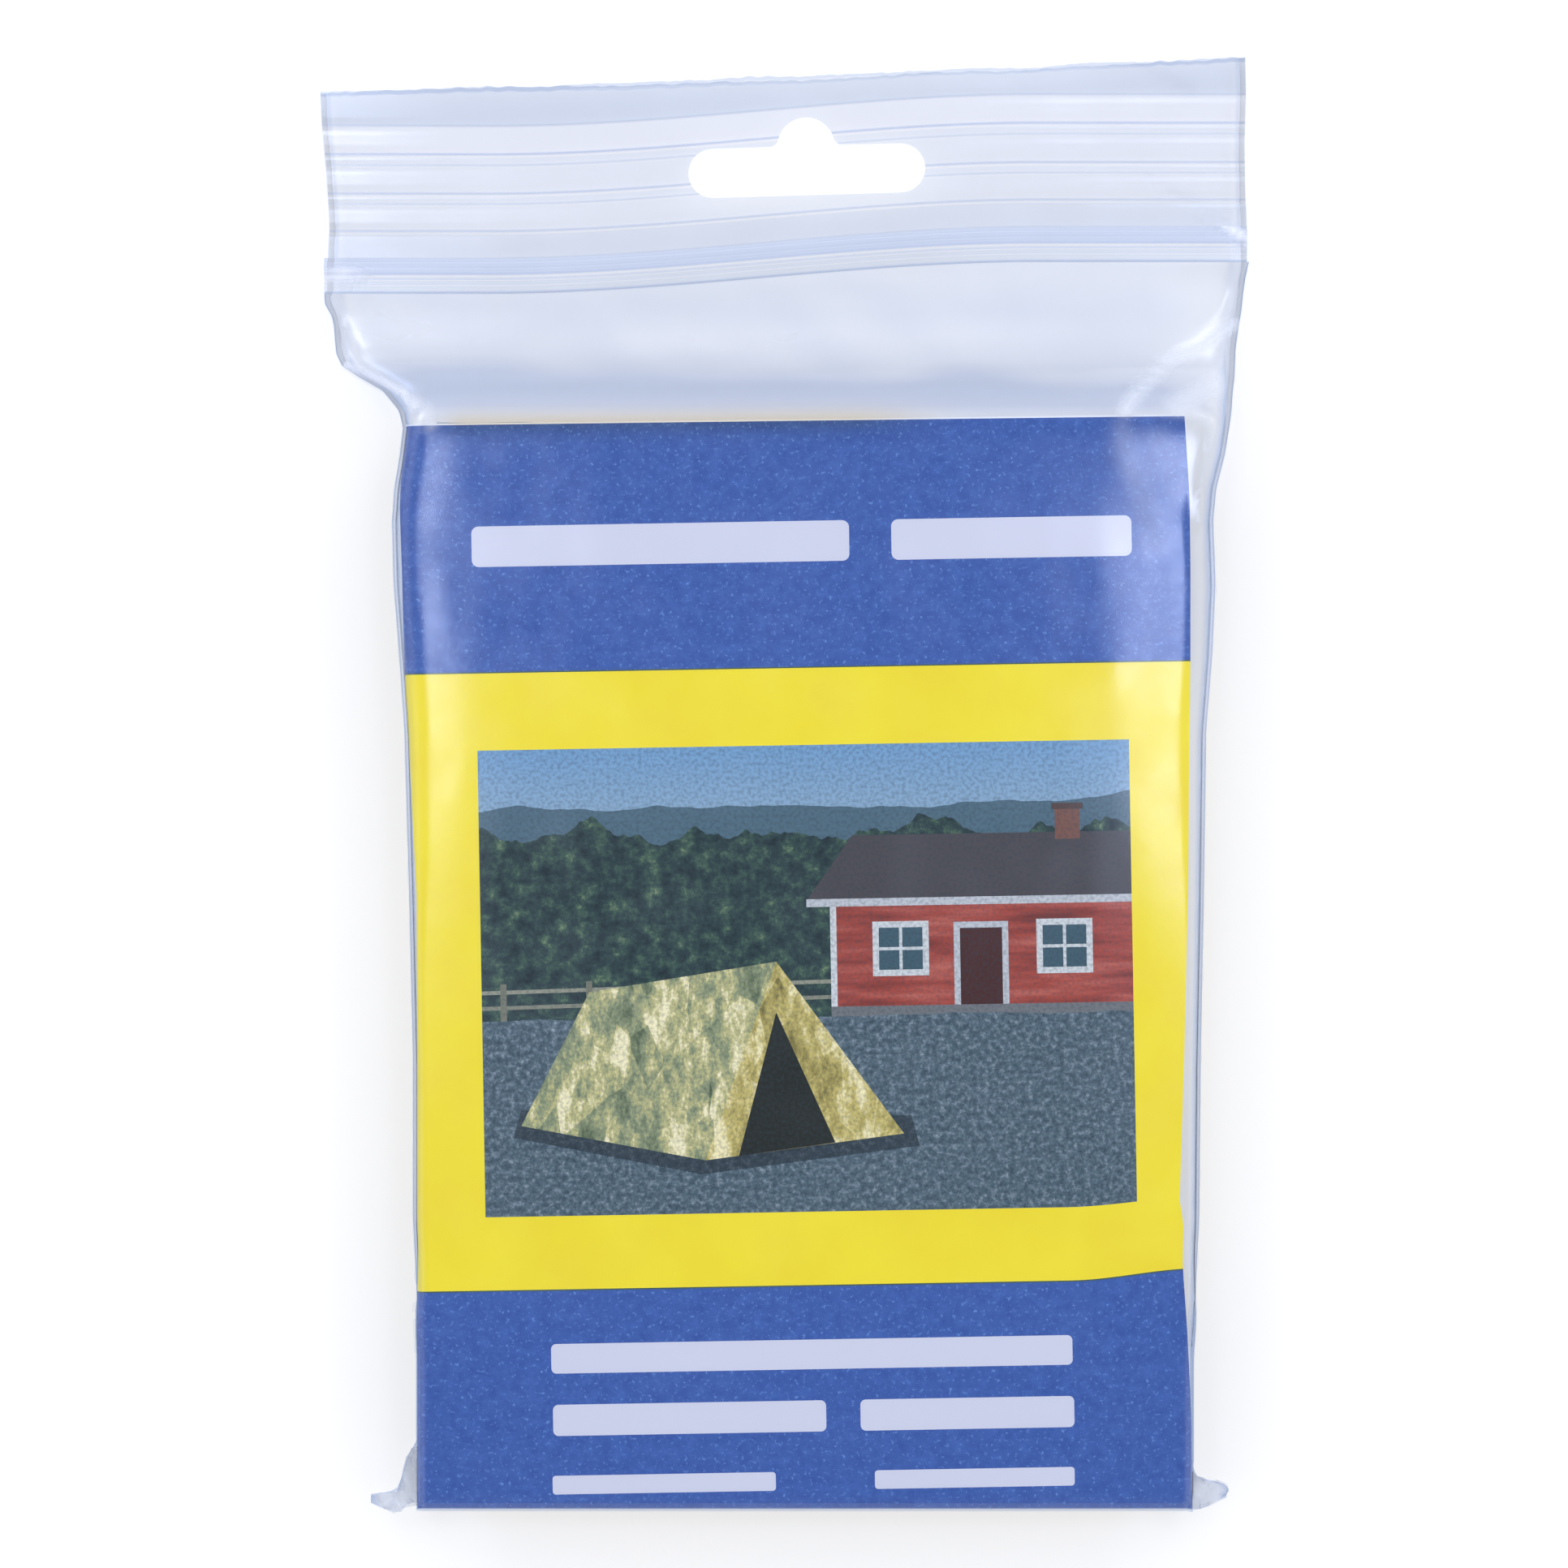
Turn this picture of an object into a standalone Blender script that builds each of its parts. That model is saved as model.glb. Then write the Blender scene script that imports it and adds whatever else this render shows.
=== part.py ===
"""Packed emergency foil blanket: the folded blanket and its printed card in a clear resealable bag.

The pack lies on its back. +X is to its right, +Y runs up to the hang hole and +Z out of its printed face.
The origin is in the middle of its footprint, on the surface that it lies on.

Lengths below are in millimetres, and the meshes are turned into metres where their points are placed.
"""

import math
from collections import namedtuple

import bmesh
import bpy
from mathutils import Matrix, Vector

MM = 0.001
SHARP_ANGLE = math.radians(35)

# Sheets. The bag's film is drawn at 1 mm so that it makes a solid; the real one is 0.05 mm.
FILM = 1.0
CARD = 1.0
FOIL = 1.0
GAP = 0.3

# Heights above the surface, from the bottom up: film, blanket, card, film.
BLANKET_BASE = FILM + GAP
FOIL_LAYERS = 7
FOIL_PITCH = 1.48
BLANKET_HEIGHT = (FOIL_LAYERS - 1) * FOIL_PITCH + FOIL
CARD_CLEARANCE = 0.4
FACE_OVER_BLANKET = GAP + CARD + CARD_CLEARANCE

# The bag's long edges and the closure across it.
SEAM_LIP = 0.3
BOTTOM_EDGE = -93.1
BOTTOM_WALL = BOTTOM_EDGE + SEAM_LIP + FILM
BOTTOM_REACH = 2.5
POUCH_TOP = 65.6
CLOSURE_TOP = 70.2
CLOSURE_LEFT = -59.5
CLOSURE_RIGHT = 60.2

# The closure runs level at each side and climbs towards the right in between.
CLIMB_START = -38.2
CLIMB_END = 33.1
CLIMB_LOW = -2.1
CLIMB_HIGH = 2.0
CLIMB_FADES_AT = 54.0

# The two lips of the closure: a rib on the back one snaps into a channel in the front one.
RIB_WIDTH = 1.2
RIB_HEIGHT = 0.6
CHANNEL_WIDTH = 1.8
CHANNEL_DEPTH = 0.6
BEAD_WIDTH = 2.4
BEAD_HEIGHT = 0.5
CLOSURE_STEPS = 16

# Header above the closure, whose top edge slopes up to the right.
HEADER_MIDDLE_TOP = 91.88
HEADER_SLOPE = 0.0387
HEADER_SAG = 0.3
FRONT_PLY_SHORTER = 0.5
HEADER_WAVE = 0.35
HEADER_WAVELENGTH = 90.0
HEADER_COLUMNS = 15
HEADER_ROWS = 5

# Hang hole: a slot with round ends and a dome over its middle, turned a little.
HOLE_X = 2.95
HOLE_Y = 79.4
HOLE_TILT = math.radians(1.65)
HOLE_HALF_LENGTH = 15.35
SLOT_RADIUS = 3.2
DOME_RADIUS = 3.7
DOME_FILLET = 1.2
ARC_STEPS = 8
CUTTER_LENGTH = 12.0

# Folded blanket and card. Both lie a little askew, along the same middle line.
MIDDLE_AT_TOP = 1.2
MIDDLE_TOP_Y = 46.0
MIDDLE_SLOPE = -0.0112
BLANKET_HALF_WIDTH = 46.2
BLANKET_BOTTOM = -90.6
BLANKET_END = 48.3
PILLOW_DROP = 0.05
PILLOW_POWER = 6
PILLOW_LIMIT = 1.05
BLANKET_WIDTH_SHARES = [-1.0, -0.85, -0.5, 0.0, 0.5, 0.85, 1.0]
STRAIGHT_STEPS = 4
BEND_STEPS = 5
CARD_HALF_WIDTH = 47.4
CARD_BOTTOM = -90.9
CARD_INSET = 0.6
CARD_END = 46.7

# How far each fold or end of the blanket stops short of its full length, in the order that the foil takes,
# and how far each layer lies to the side of the stack's middle.
FOLD_SHORTFALL = [0.9, 0.0, 0.4, 1.3, 0.2, 0.7, 0.0, 1.6]
LAYER_SHIFT = [0.3, -0.4, 0.1, 0.5, -0.2, -0.5, 0.2]

# The pouch's cross-sections, from the bottom wall up to the closure. left and right are the outline, and the
# walls are the film's inner faces. weld is the height at which the two films meet, lift and sink say how far
# the front rises to the card's face and the back drops to the surface, each reach is how far in from its
# wall the face is level, and power says how square the shoulder is.
Section = namedtuple(
    "Section", "y left wall_left wall_right right weld lift sink reach_left reach_right power"
)
SECTIONS = [
    #          y   left  wall_l wall_r right weld  lift  sink reach_l reach_r power
    Section(-91.8, -53.4, -45.9, 51.2, 57.2, 5.0, 1.00, 1.00, 2.0, 2.0, 4.0),
    Section(-91.5, -51.2, -45.9, 51.2, 57.5, 5.0, 1.00, 1.00, 2.0, 2.0, 4.0),
    Section(-91.0, -50.0, -45.9, 51.2, 57.5, 5.0, 1.00, 1.00, 2.0, 2.0, 4.0),
    Section(-90.3, -49.7, -45.9, 51.2, 56.6, 5.0, 1.00, 1.00, 2.0, 2.0, 4.0),
    Section(-89.6, -49.4, -45.9, 51.3, 53.5, 5.0, 1.00, 1.00, 2.0, 2.0, 4.0),
    Section(-88.5, -49.2, -45.9, 51.3, 52.8, 5.0, 1.00, 1.00, 2.0, 2.0, 4.0),
    Section(-86.2, -48.6, -45.9, 51.3, 52.6, 5.0, 1.00, 1.00, 2.0, 2.0, 4.0),
    Section(-85.2, -47.3, -45.9, 51.3, 52.6, 5.0, 1.00, 1.00, 2.0, 2.0, 4.0),
    Section(-73.0, -47.2, -45.9, 51.3, 52.6, 5.0, 1.00, 1.00, 2.0, 2.0, 4.0),
    Section(-66.0, -47.4, -46.1, 51.8, 53.1, 5.0, 1.00, 1.00, 2.0, 2.2, 4.0),
    Section(-56.0, -47.9, -46.6, 52.3, 53.6, 5.0, 1.00, 1.00, 2.0, 2.5, 4.0),
    Section(-35.0, -47.9, -46.6, 52.5, 53.8, 5.0, 1.00, 1.00, 2.0, 3.0, 4.0),
    Section(-14.0, -48.4, -47.1, 52.9, 54.2, 5.0, 1.00, 1.00, 2.2, 3.5, 4.0),
    Section(7.0, -49.0, -47.7, 53.2, 54.5, 5.0, 1.00, 1.00, 2.5, 4.0, 4.0),
    Section(17.0, -49.7, -48.4, 54.0, 55.3, 5.0, 1.00, 1.00, 3.0, 5.0, 4.0),
    Section(26.0, -50.4, -49.1, 54.4, 55.7, 5.0, 1.00, 1.00, 3.5, 5.5, 4.0),
    Section(34.0, -50.6, -49.3, 54.1, 55.4, 5.0, 1.00, 1.00, 3.5, 5.5, 4.0),
    Section(38.2, -50.3, -49.0, 54.5, 55.8, 4.9, 1.00, 1.00, 3.5, 6.0, 4.0),
    Section(42.5, -49.6, -48.3, 55.6, 56.9, 4.8, 1.00, 1.00, 3.0, 6.5, 4.0),
    Section(46.0, -49.2, -47.9, 56.2, 57.5, 4.6, 1.00, 1.00, 3.0, 8.0, 4.0),
    Section(48.2, -49.7, -48.3, 56.4, 57.8, 4.3, 0.97, 0.97, 6.0, 9.0, 3.5),
    Section(50.8, -51.8, -50.2, 56.5, 58.0, 3.9, 0.80, 0.85, 10.0, 12.0, 3.0),
    Section(52.4, -54.6, -52.8, 56.5, 58.2, 3.6, 0.64, 0.75, 14.0, 15.0, 2.6),
    Section(54.0, -57.1, -55.1, 56.4, 58.3, 3.4, 0.48, 0.65, 18.0, 18.0, 2.2),
    Section(56.0, -57.9, -55.9, 56.4, 58.4, 3.1, 0.37, 0.50, 21.0, 21.0, 2.0),
    Section(58.4, -58.1, -56.1, 56.8, 58.8, 2.8, 0.27, 0.36, 24.0, 24.0, 2.0),
    Section(60.3, -58.2, -56.2, 57.2, 59.2, 2.6, 0.20, 0.26, 27.0, 27.0, 2.0),
    Section(62.0, -58.5, -56.5, 57.4, 59.4, 2.4, 0.13, 0.17, 30.0, 30.0, 2.0),
    Section(63.8, -59.4, -57.2, 57.5, 59.7, 2.2, 0.06, 0.08, 30.0, 30.0, 2.0),
    Section(POUCH_TOP, -59.5, -57.3, 58.0, 60.2, 2.0, 0.00, 0.00, 30.0, 30.0, 2.0),
]

# The bottom edge from ear to ear.
EdgePoint = namedtuple("EdgePoint", "x y")
BOTTOM_OUTLINE = [
    EdgePoint(-53.4, -92.9),
    EdgePoint(-50.4, -94.2),
    EdgePoint(-48.15, -93.0),
    EdgePoint(-45.9, BOTTOM_EDGE),
    EdgePoint(51.2, BOTTOM_EDGE),
    EdgePoint(53.0, -93.7),
    EdgePoint(54.8, -93.3),
    EdgePoint(57.2, -92.2),
]

# The header's sides, as shares of its height.
HeaderEdge = namedtuple("HeaderEdge", "share left right")
HEADER_SIDES = [
    HeaderEdge(0.0, -59.2, 60.0),
    HeaderEdge(0.2, -59.0, 59.8),
    HeaderEdge(0.5, -59.5, 59.7),
    HeaderEdge(0.8, -60.0, 60.0),
    HeaderEdge(1.0, -60.2, 59.8),
]

# Broad ridges that the slack front film makes between the closure and the blanket's corners.
# They grow from nothing at the closure and at the blanket's edge.
SLACK_GROWTH = 5.0
Ridge = namedtuple("Ridge", "x0 y0 x1 y1 width height")
RIDGES = [
    Ridge(55.0, 60.0, 47.5, 55.0, 4.0, 1.1),
    Ridge(47.5, 55.0, 42.5, 47.5, 4.0, 1.1),
    Ridge(-54.0, 55.0, -43.0, 49.5, 4.5, 0.9),
    Ridge(-30.0, 56.5, 20.0, 57.5, 3.5, 0.5),
]

# Where the pouch's columns stand: shares of the seam, of the curved shoulder, and of the face between them.
SEAM_SHARES = [0.0, 0.4, 0.7]
SHOULDER_SHARES = [0.0, 0.05, 0.16, 0.36, 0.64, 1.0]
FRONT_FACE_COLUMNS = 10
BACK_FACE_COLUMNS = 4
ROW_SPACING = 0.5
Station = namedtuple("Station", "side zone share")

# Where the card's columns and rows stand, in from its edges.
CARD_EDGE_STEPS = [0.0, 0.5, 1.2, 2.4]
CARD_FACE_COLUMNS = 4
CARD_FACE_ROWS = 6

Finish = namedtuple("Finish", "colour roughness metallic alpha")
CLEAR_FILM = Finish("E1E8F6", 0.25, 0.0, 0.35)
CLOSURE_FILM = Finish("CDD9F2", 0.3, 0.0, 0.5)
PRINTED_CARD = Finish("3E549E", 0.45, 0.0, 1.0)
GOLD_FOIL = Finish("C9A24A", 0.25, 1.0, 1.0)


def steps_between(start, end, count):
    """Evenly spaced values between start and end, without either."""
    return [start + (end - start) * (n + 1) / (count + 1) for n in range(count)]


def table_at(table, key, value):
    """Row of a table at a value of its key column, in a straight line between the two nearest rows."""
    position = [getattr(row, key) for row in table]
    if value <= position[0]:
        return table[0]
    for before, after, start, end in zip(table, table[1:], position, position[1:]):
        if value <= end:
            share = (value - start) / (end - start)
            return type(before)(*(a + share * (b - a) for a, b in zip(before, after)))
    return table[-1]


def shoulder(distance, reach, power):
    """Height of a rounded shoulder, from 0 at the wall to 1 where the face is level."""
    share = min(max(distance / reach, 0.0), 1.0)
    return (1.0 - (1.0 - share) ** power) ** (1.0 / power)


def middle_line(y):
    """X of the blanket's and card's middle at y."""
    return MIDDLE_AT_TOP + MIDDLE_SLOPE * (y - MIDDLE_TOP_Y)


def pillow(x, y):
    """Share of its middle height that the blanket has at a point, a little less towards its edges."""
    half_length = (BLANKET_END - BLANKET_BOTTOM) / 2
    across = min(abs(x - middle_line(y)) / BLANKET_HALF_WIDTH, PILLOW_LIMIT)
    along = min(abs(y - BLANKET_BOTTOM - half_length) / half_length, PILLOW_LIMIT)
    return 1.0 - PILLOW_DROP * (across**PILLOW_POWER + along**PILLOW_POWER)


def pouch_rise(x, y, inset=0.0):
    """Share of its full height that the film has at a point, with the walls moved in by inset."""
    section = table_at(SECTIONS, "y", y)
    left = shoulder(x - section.wall_left - inset, section.reach_left, section.power)
    right = shoulder(section.wall_right - inset - x, section.reach_right, section.power)
    return left * right * shoulder(y - BOTTOM_WALL - inset, BOTTOM_REACH, section.power)


def ridge_height(x, y):
    """Height that the slack ridges add to the front film."""
    height = 0.0
    point = Vector((x, y))
    for ridge in RIDGES:
        start = Vector((ridge.x0, ridge.y0))
        along = Vector((ridge.x1, ridge.y1)) - start
        share = min(max((point - start).dot(along) / along.length_squared, 0.0), 1.0)
        distance = (point - start - share * along).length
        height = max(height, ridge.height * math.exp(-((distance / ridge.width) ** 2)))
    return height


def front_taut(x, y, inset=0.0):
    """Height of the front film's inner face, without its slack ridges."""
    section = table_at(SECTIONS, "y", y)
    weld = section.weld + GAP / 2
    face = BLANKET_BASE + BLANKET_HEIGHT * pillow(x, y) + FACE_OVER_BLANKET
    return weld + pouch_rise(x, y, inset) * section.lift * (face - weld)


def front_inside(x, y):
    """Height of the front film's inner face."""
    lift = table_at(SECTIONS, "y", y).lift
    slack = min((1.0 - lift) * SLACK_GROWTH, lift * SLACK_GROWTH, 1.0)
    return front_taut(x, y) + slack * pouch_rise(x, y) * ridge_height(x, y)


def back_inside(x, y):
    """Height of the back film's inner face."""
    section = table_at(SECTIONS, "y", y)
    weld = section.weld - GAP / 2
    return weld - pouch_rise(x, y) * section.sink * (weld - FILM)


def closure_climb(x):
    """How far the closure lies above or below its middle height at x."""
    share = min(max((x - CLIMB_START) / (CLIMB_END - CLIMB_START), 0.0), 1.0)
    return CLIMB_LOW + (CLIMB_HIGH - CLIMB_LOW) * share * share * (3.0 - 2.0 * share)


def pouch_stations(face_columns):
    """Columns of a pouch film, from its left outline to its right one."""
    left = [Station(-1, "seam", share) for share in SEAM_SHARES]
    left += [Station(-1, "shoulder", share) for share in SHOULDER_SHARES]
    right = [station._replace(side=1) for station in reversed(left)]
    face = [Station(0, "face", share) for share in steps_between(0.0, 1.0, face_columns)]
    return left + face + right


def pouch_rows():
    """Y of the rows of a pouch film: the bottom edge, its curved wall, and every section above it."""
    wall = [BOTTOM_WALL + share * BOTTOM_REACH for share in SHOULDER_SHARES]
    above = [section.y for section in SECTIONS if section.y > wall[-1] + ROW_SPACING]
    return [BOTTOM_EDGE] + wall + above


def station_x(section, station, outward):
    """X of a column in a section, whose walls are moved outward."""
    wall_left = section.wall_left - outward
    wall_right = section.wall_right + outward
    if station.zone == "face":
        start = wall_left + section.reach_left
        return start + station.share * (wall_right - section.reach_right - start)
    if station.side < 0:
        outline, wall, reach = section.left, wall_left, section.reach_left
    else:
        outline, wall, reach = section.right, wall_right, -section.reach_right
    if station.zone == "seam":
        return outline + station.share * (wall - outline)
    return wall + station.share * reach


def pouch_point(inside, thickness, station, y):
    """Point of a pouch film: on its inner face, or on its outer one where thickness isn't zero."""
    section = table_at(SECTIONS, "y", y)
    height = inside(station_x(section, station, 0.0), y) + thickness
    x = station_x(section, station, abs(thickness))
    if y == BOTTOM_EDGE:
        y = table_at(BOTTOM_OUTLINE, "x", x).y
    elif station.zone != "seam":
        y -= abs(thickness) * (POUCH_TOP - y) / (POUCH_TOP - BOTTOM_WALL)
    climb = max(y - CLIMB_FADES_AT, 0.0) / (POUCH_TOP - CLIMB_FADES_AT)
    return Vector((x, y + climb * closure_climb(x), height))


def sheet_mesh(columns, rows, first_face, second_face):
    """Closed sheet: a grid whose points lie on the first face, extruded to the second one."""
    sheet = bmesh.new()
    bmesh.ops.create_grid(sheet, x_segments=columns - 1, y_segments=rows - 1, size=1.0)
    grown = bmesh.ops.extrude_face_region(sheet, geom=sheet.faces[:])["geom"]
    second = {vert for vert in grown if isinstance(vert, bmesh.types.BMVert)}
    for vert in sheet.verts:
        column = round((vert.co.x + 1.0) / 2.0 * (columns - 1))
        row = round((vert.co.y + 1.0) / 2.0 * (rows - 1))
        place = second_face if vert in second else first_face
        vert.co = place(column, row) * MM
    bmesh.ops.recalc_face_normals(sheet, faces=sheet.faces[:])
    return sheet


def linear(hex_colour):
    """Linear red, green and blue of an sRGB hex colour."""
    values = [int(hex_colour[n : n + 2], 16) / 255 for n in (0, 2, 4)]
    return [v / 12.92 if v <= 0.04045 else ((v + 0.055) / 1.055) ** 2.4 for v in values]


def finish_material(name, finish):
    """Principled material of a finish."""
    material = bpy.data.materials.new(name)
    material.use_nodes = True
    shader = material.node_tree.nodes["Principled BSDF"]
    shader.inputs["Base Color"].default_value = (*linear(finish.colour), 1.0)
    shader.inputs["Roughness"].default_value = finish.roughness
    shader.inputs["Metallic"].default_value = finish.metallic
    shader.inputs["Alpha"].default_value = finish.alpha
    return material


def new_object(name, bm, collection, material=None):
    """Object of a bmesh, in a collection, shaded smooth but for its sharp edges."""
    mesh = bpy.data.meshes.new(name)
    bm.to_mesh(mesh)
    bm.free()
    mesh.shade_smooth()
    mesh.set_sharp_from_angle(angle=SHARP_ANGLE)
    if material:
        mesh.materials.append(material)
    thing = bpy.data.objects.new(name, mesh)
    collection.objects.link(thing)
    return thing


def pouch_film(name, inside, thickness, face_columns, collection, material):
    """Front or back film of the pouch, welded to the other along its sides and bottom."""
    stations = pouch_stations(face_columns)
    rows = pouch_rows()
    sheet = sheet_mesh(
        len(stations),
        len(rows),
        lambda column, row: pouch_point(inside, 0.0, stations[column], rows[row]),
        lambda column, row: pouch_point(inside, thickness, stations[column], rows[row]),
    )
    return new_object(name, sheet, collection, material)


def insert_card(collection, material):
    """Printed card, whose edges bend down under the film's shoulders."""
    last = CARD_EDGE_STEPS[-1]
    edge = [step - CARD_HALF_WIDTH for step in CARD_EDGE_STEPS]
    columns = edge + steps_between(edge[-1], -edge[-1], CARD_FACE_COLUMNS) + [-x for x in reversed(edge)]
    rows = [CARD_BOTTOM + step for step in CARD_EDGE_STEPS]
    rows += steps_between(CARD_BOTTOM + last, CARD_END, CARD_FACE_ROWS) + [CARD_END]

    def point(column, row, below):
        y = rows[row]
        x = middle_line(y) + columns[column]
        return Vector((x, y, front_taut(x, y, CARD_INSET) - CARD_CLEARANCE - below))

    sheet = sheet_mesh(
        len(columns), len(rows), lambda c, r: point(c, r, 0.0), lambda c, r: point(c, r, CARD)
    )
    return new_object("insert_card", sheet, collection, material)


def blanket_path():
    """Middle of the folded foil from end to end, as (layer, y, z): straight runs joined by round bends."""
    radius = FOIL_PITCH / 2
    path = []
    for layer in range(FOIL_LAYERS):
        z = FOIL / 2 + layer * FOIL_PITCH
        heading = 1 if layer % 2 == 0 else -1
        low = BLANKET_BOTTOM + FOLD_SHORTFALL[layer + (heading < 0)] + radius + FOIL / 2
        high = BLANKET_END - FOLD_SHORTFALL[layer + (heading > 0)] - radius - FOIL / 2
        start, end = (low, high) if heading > 0 else (high, low)
        path += [(layer, start + (end - start) * n / STRAIGHT_STEPS, z) for n in range(STRAIGHT_STEPS + 1)]
        if layer < FOIL_LAYERS - 1:
            for step in range(1, BEND_STEPS):
                angle = math.pi * step / BEND_STEPS
                y = end + heading * radius * math.sin(angle)
                path.append((layer + step / BEND_STEPS, y, z + radius * (1 - math.cos(angle))))
    return path


def foil_blanket(collection, material):
    """Folded blanket: one back-and-forth run of foil, a little lower at its edges than in its middle."""
    path = blanket_path()
    sheet = bmesh.new()
    bmesh.ops.create_grid(sheet, x_segments=len(BLANKET_WIDTH_SHARES) - 1, y_segments=len(path) - 1, size=1.0)
    for vert in sheet.verts:
        width = BLANKET_WIDTH_SHARES[round((vert.co.x + 1.0) / 2.0 * (len(BLANKET_WIDTH_SHARES) - 1))]
        layer, y, z = path[round((vert.co.y + 1.0) / 2.0 * (len(path) - 1))]
        below = int(layer)
        above = min(below + 1, FOIL_LAYERS - 1)
        aside = LAYER_SHIFT[below] + (layer - below) * (LAYER_SHIFT[above] - LAYER_SHIFT[below])
        x = middle_line(y) + aside + width * BLANKET_HALF_WIDTH
        vert.co = Vector((x, y, BLANKET_BASE + z * pillow(x, y))) * MM
    blanket = new_object("foil_blanket", sheet, collection, material)
    wall = blanket.modifiers.new("Foil", "SOLIDIFY")
    wall.thickness = FOIL * MM
    wall.offset = 0.0
    return blanket


def mirrored_profile(half):
    """Closed outline of a profile from its right half, given from the bottom middle to the top middle."""
    return half + [(-y, z) for y, z in reversed(half)]


def closure_strip(name, half, collection, material):
    """Lip of the closure: its profile extruded from left to right along the climb."""
    middle = (POUCH_TOP + CLOSURE_TOP) / 2
    strip = bmesh.new()
    x = CLOSURE_LEFT
    profile = mirrored_profile(half)
    verts = [strip.verts.new(Vector((x, middle + closure_climb(x) + y, z)) * MM) for y, z in profile]
    end = strip.faces.new(verts)
    for step in range(CLOSURE_STEPS):
        next_x = CLOSURE_LEFT + (CLOSURE_RIGHT - CLOSURE_LEFT) * (step + 1) / CLOSURE_STEPS
        move = Vector((next_x - x, closure_climb(next_x) - closure_climb(x), 0.0)) * MM
        grown = bmesh.ops.extrude_face_region(strip, geom=[end])["geom"]
        if step > 0:
            bmesh.ops.delete(strip, geom=[end], context="FACES_ONLY")
        end = next(item for item in grown if isinstance(item, bmesh.types.BMFace))
        bmesh.ops.translate(strip, verts=list(end.verts), vec=move)
        x = next_x
    bmesh.ops.recalc_face_normals(strip, faces=strip.faces[:])
    return new_object(name, strip, collection, material)


def closure(collection, material):
    """Both lips of the closure, pressed together."""
    half = (CLOSURE_TOP - POUCH_TOP) / 2 - GAP
    back_top = table_at(SECTIONS, "y", POUCH_TOP).weld - GAP / 2
    front_bottom = back_top + GAP
    rib = RIB_WIDTH / 2
    channel = CHANNEL_WIDTH / 2
    bead = BEAD_WIDTH / 2
    rib_profile = [
        (half, back_top - FILM),
        (half, back_top),
        (rib, back_top),
        (rib, back_top + RIB_HEIGHT),
    ]
    channel_profile = [
        (channel, front_bottom + CHANNEL_DEPTH),
        (channel, front_bottom),
        (half, front_bottom),
        (half, front_bottom + FILM),
        (bead, front_bottom + FILM),
        (bead / 2, front_bottom + FILM + BEAD_HEIGHT),
    ]
    closure_strip("closure_ridge", rib_profile, collection, material)
    closure_strip("closure_groove", channel_profile, collection, material)


def header_ply(name, base, shorter, collection, material):
    """Header ply above the closure, in a slow wave that both plies share."""

    def point(column, row, up):
        share = row / (HEADER_ROWS - 1)
        sides = table_at(HEADER_SIDES, "share", share)
        x = sides.left + (sides.right - sides.left) * column / (HEADER_COLUMNS - 1)
        bottom = CLOSURE_TOP + closure_climb(x)
        sag = HEADER_SAG * (1.0 - (x / CLOSURE_RIGHT) ** 2)
        top = HEADER_MIDDLE_TOP + HEADER_SLOPE * x - sag - shorter
        wave = HEADER_WAVE * share * math.sin(2.0 * math.pi * x / HEADER_WAVELENGTH)
        return Vector((x, bottom + share * (top - bottom), base + wave + up))

    sheet = sheet_mesh(
        HEADER_COLUMNS, HEADER_ROWS, lambda c, r: point(c, r, 0.0), lambda c, r: point(c, r, FILM)
    )
    return new_object(name, sheet, collection, material)


def arc(centre_x, centre_y, radius, start, end):
    """Points of an arc between two angles in degrees."""
    angles = [math.radians(start + (end - start) * n / ARC_STEPS) for n in range(ARC_STEPS + 1)]
    return [(centre_x + radius * math.cos(a), centre_y + radius * math.sin(a)) for a in angles]


def hang_hole_outline():
    """Outline of the hang hole about the slot's middle: right end, dome with its two fillets, left end."""
    end_x = HOLE_HALF_LENGTH - SLOT_RADIUS
    fillet_x = math.sqrt(DOME_RADIUS**2 + 2.0 * DOME_RADIUS * DOME_FILLET)
    fillet_y = SLOT_RADIUS + DOME_FILLET
    lean = math.degrees(math.atan2(DOME_FILLET, fillet_x))
    outline = arc(end_x, 0.0, SLOT_RADIUS, -90.0, 90.0)
    outline += arc(fillet_x, fillet_y, DOME_FILLET, 270.0, 180.0 + lean)
    outline += arc(0.0, SLOT_RADIUS, DOME_RADIUS, lean, 180.0 - lean)[1:-1]
    outline += arc(-fillet_x, fillet_y, DOME_FILLET, -lean, -90.0)
    outline += arc(-end_x, 0.0, SLOT_RADIUS, 90.0, 270.0)
    return outline


def hang_hole_cutter(collection):
    """Cutter of the hang hole: its outline extruded through both header plies."""
    cutter = bmesh.new()
    low = -CUTTER_LENGTH / 2
    face = cutter.faces.new([cutter.verts.new(Vector((x, y, low)) * MM) for x, y in hang_hole_outline()])
    grown = bmesh.ops.extrude_face_region(cutter, geom=[face])["geom"]
    verts = [item for item in grown if isinstance(item, bmesh.types.BMVert)]
    bmesh.ops.translate(cutter, verts=verts, vec=Vector((0.0, 0.0, CUTTER_LENGTH * MM)))
    bmesh.ops.recalc_face_normals(cutter, faces=cutter.faces[:])
    thing = new_object("hang_hole_cutter", cutter, collection)
    place = Matrix.Translation(Vector((HOLE_X, HOLE_Y, FILM)) * MM)
    thing.matrix_world = place @ Matrix.Rotation(HOLE_TILT, 4, "Z")
    thing.hide_render = True
    thing.display_type = "WIRE"
    return thing


def punch(thing, cutter):
    """Cut a cutter's shape out of a piece."""
    cut = thing.modifiers.new("Hang hole", "BOOLEAN")
    cut.operation = "DIFFERENCE"
    cut.solver = "EXACT"
    cut.object = cutter


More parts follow.
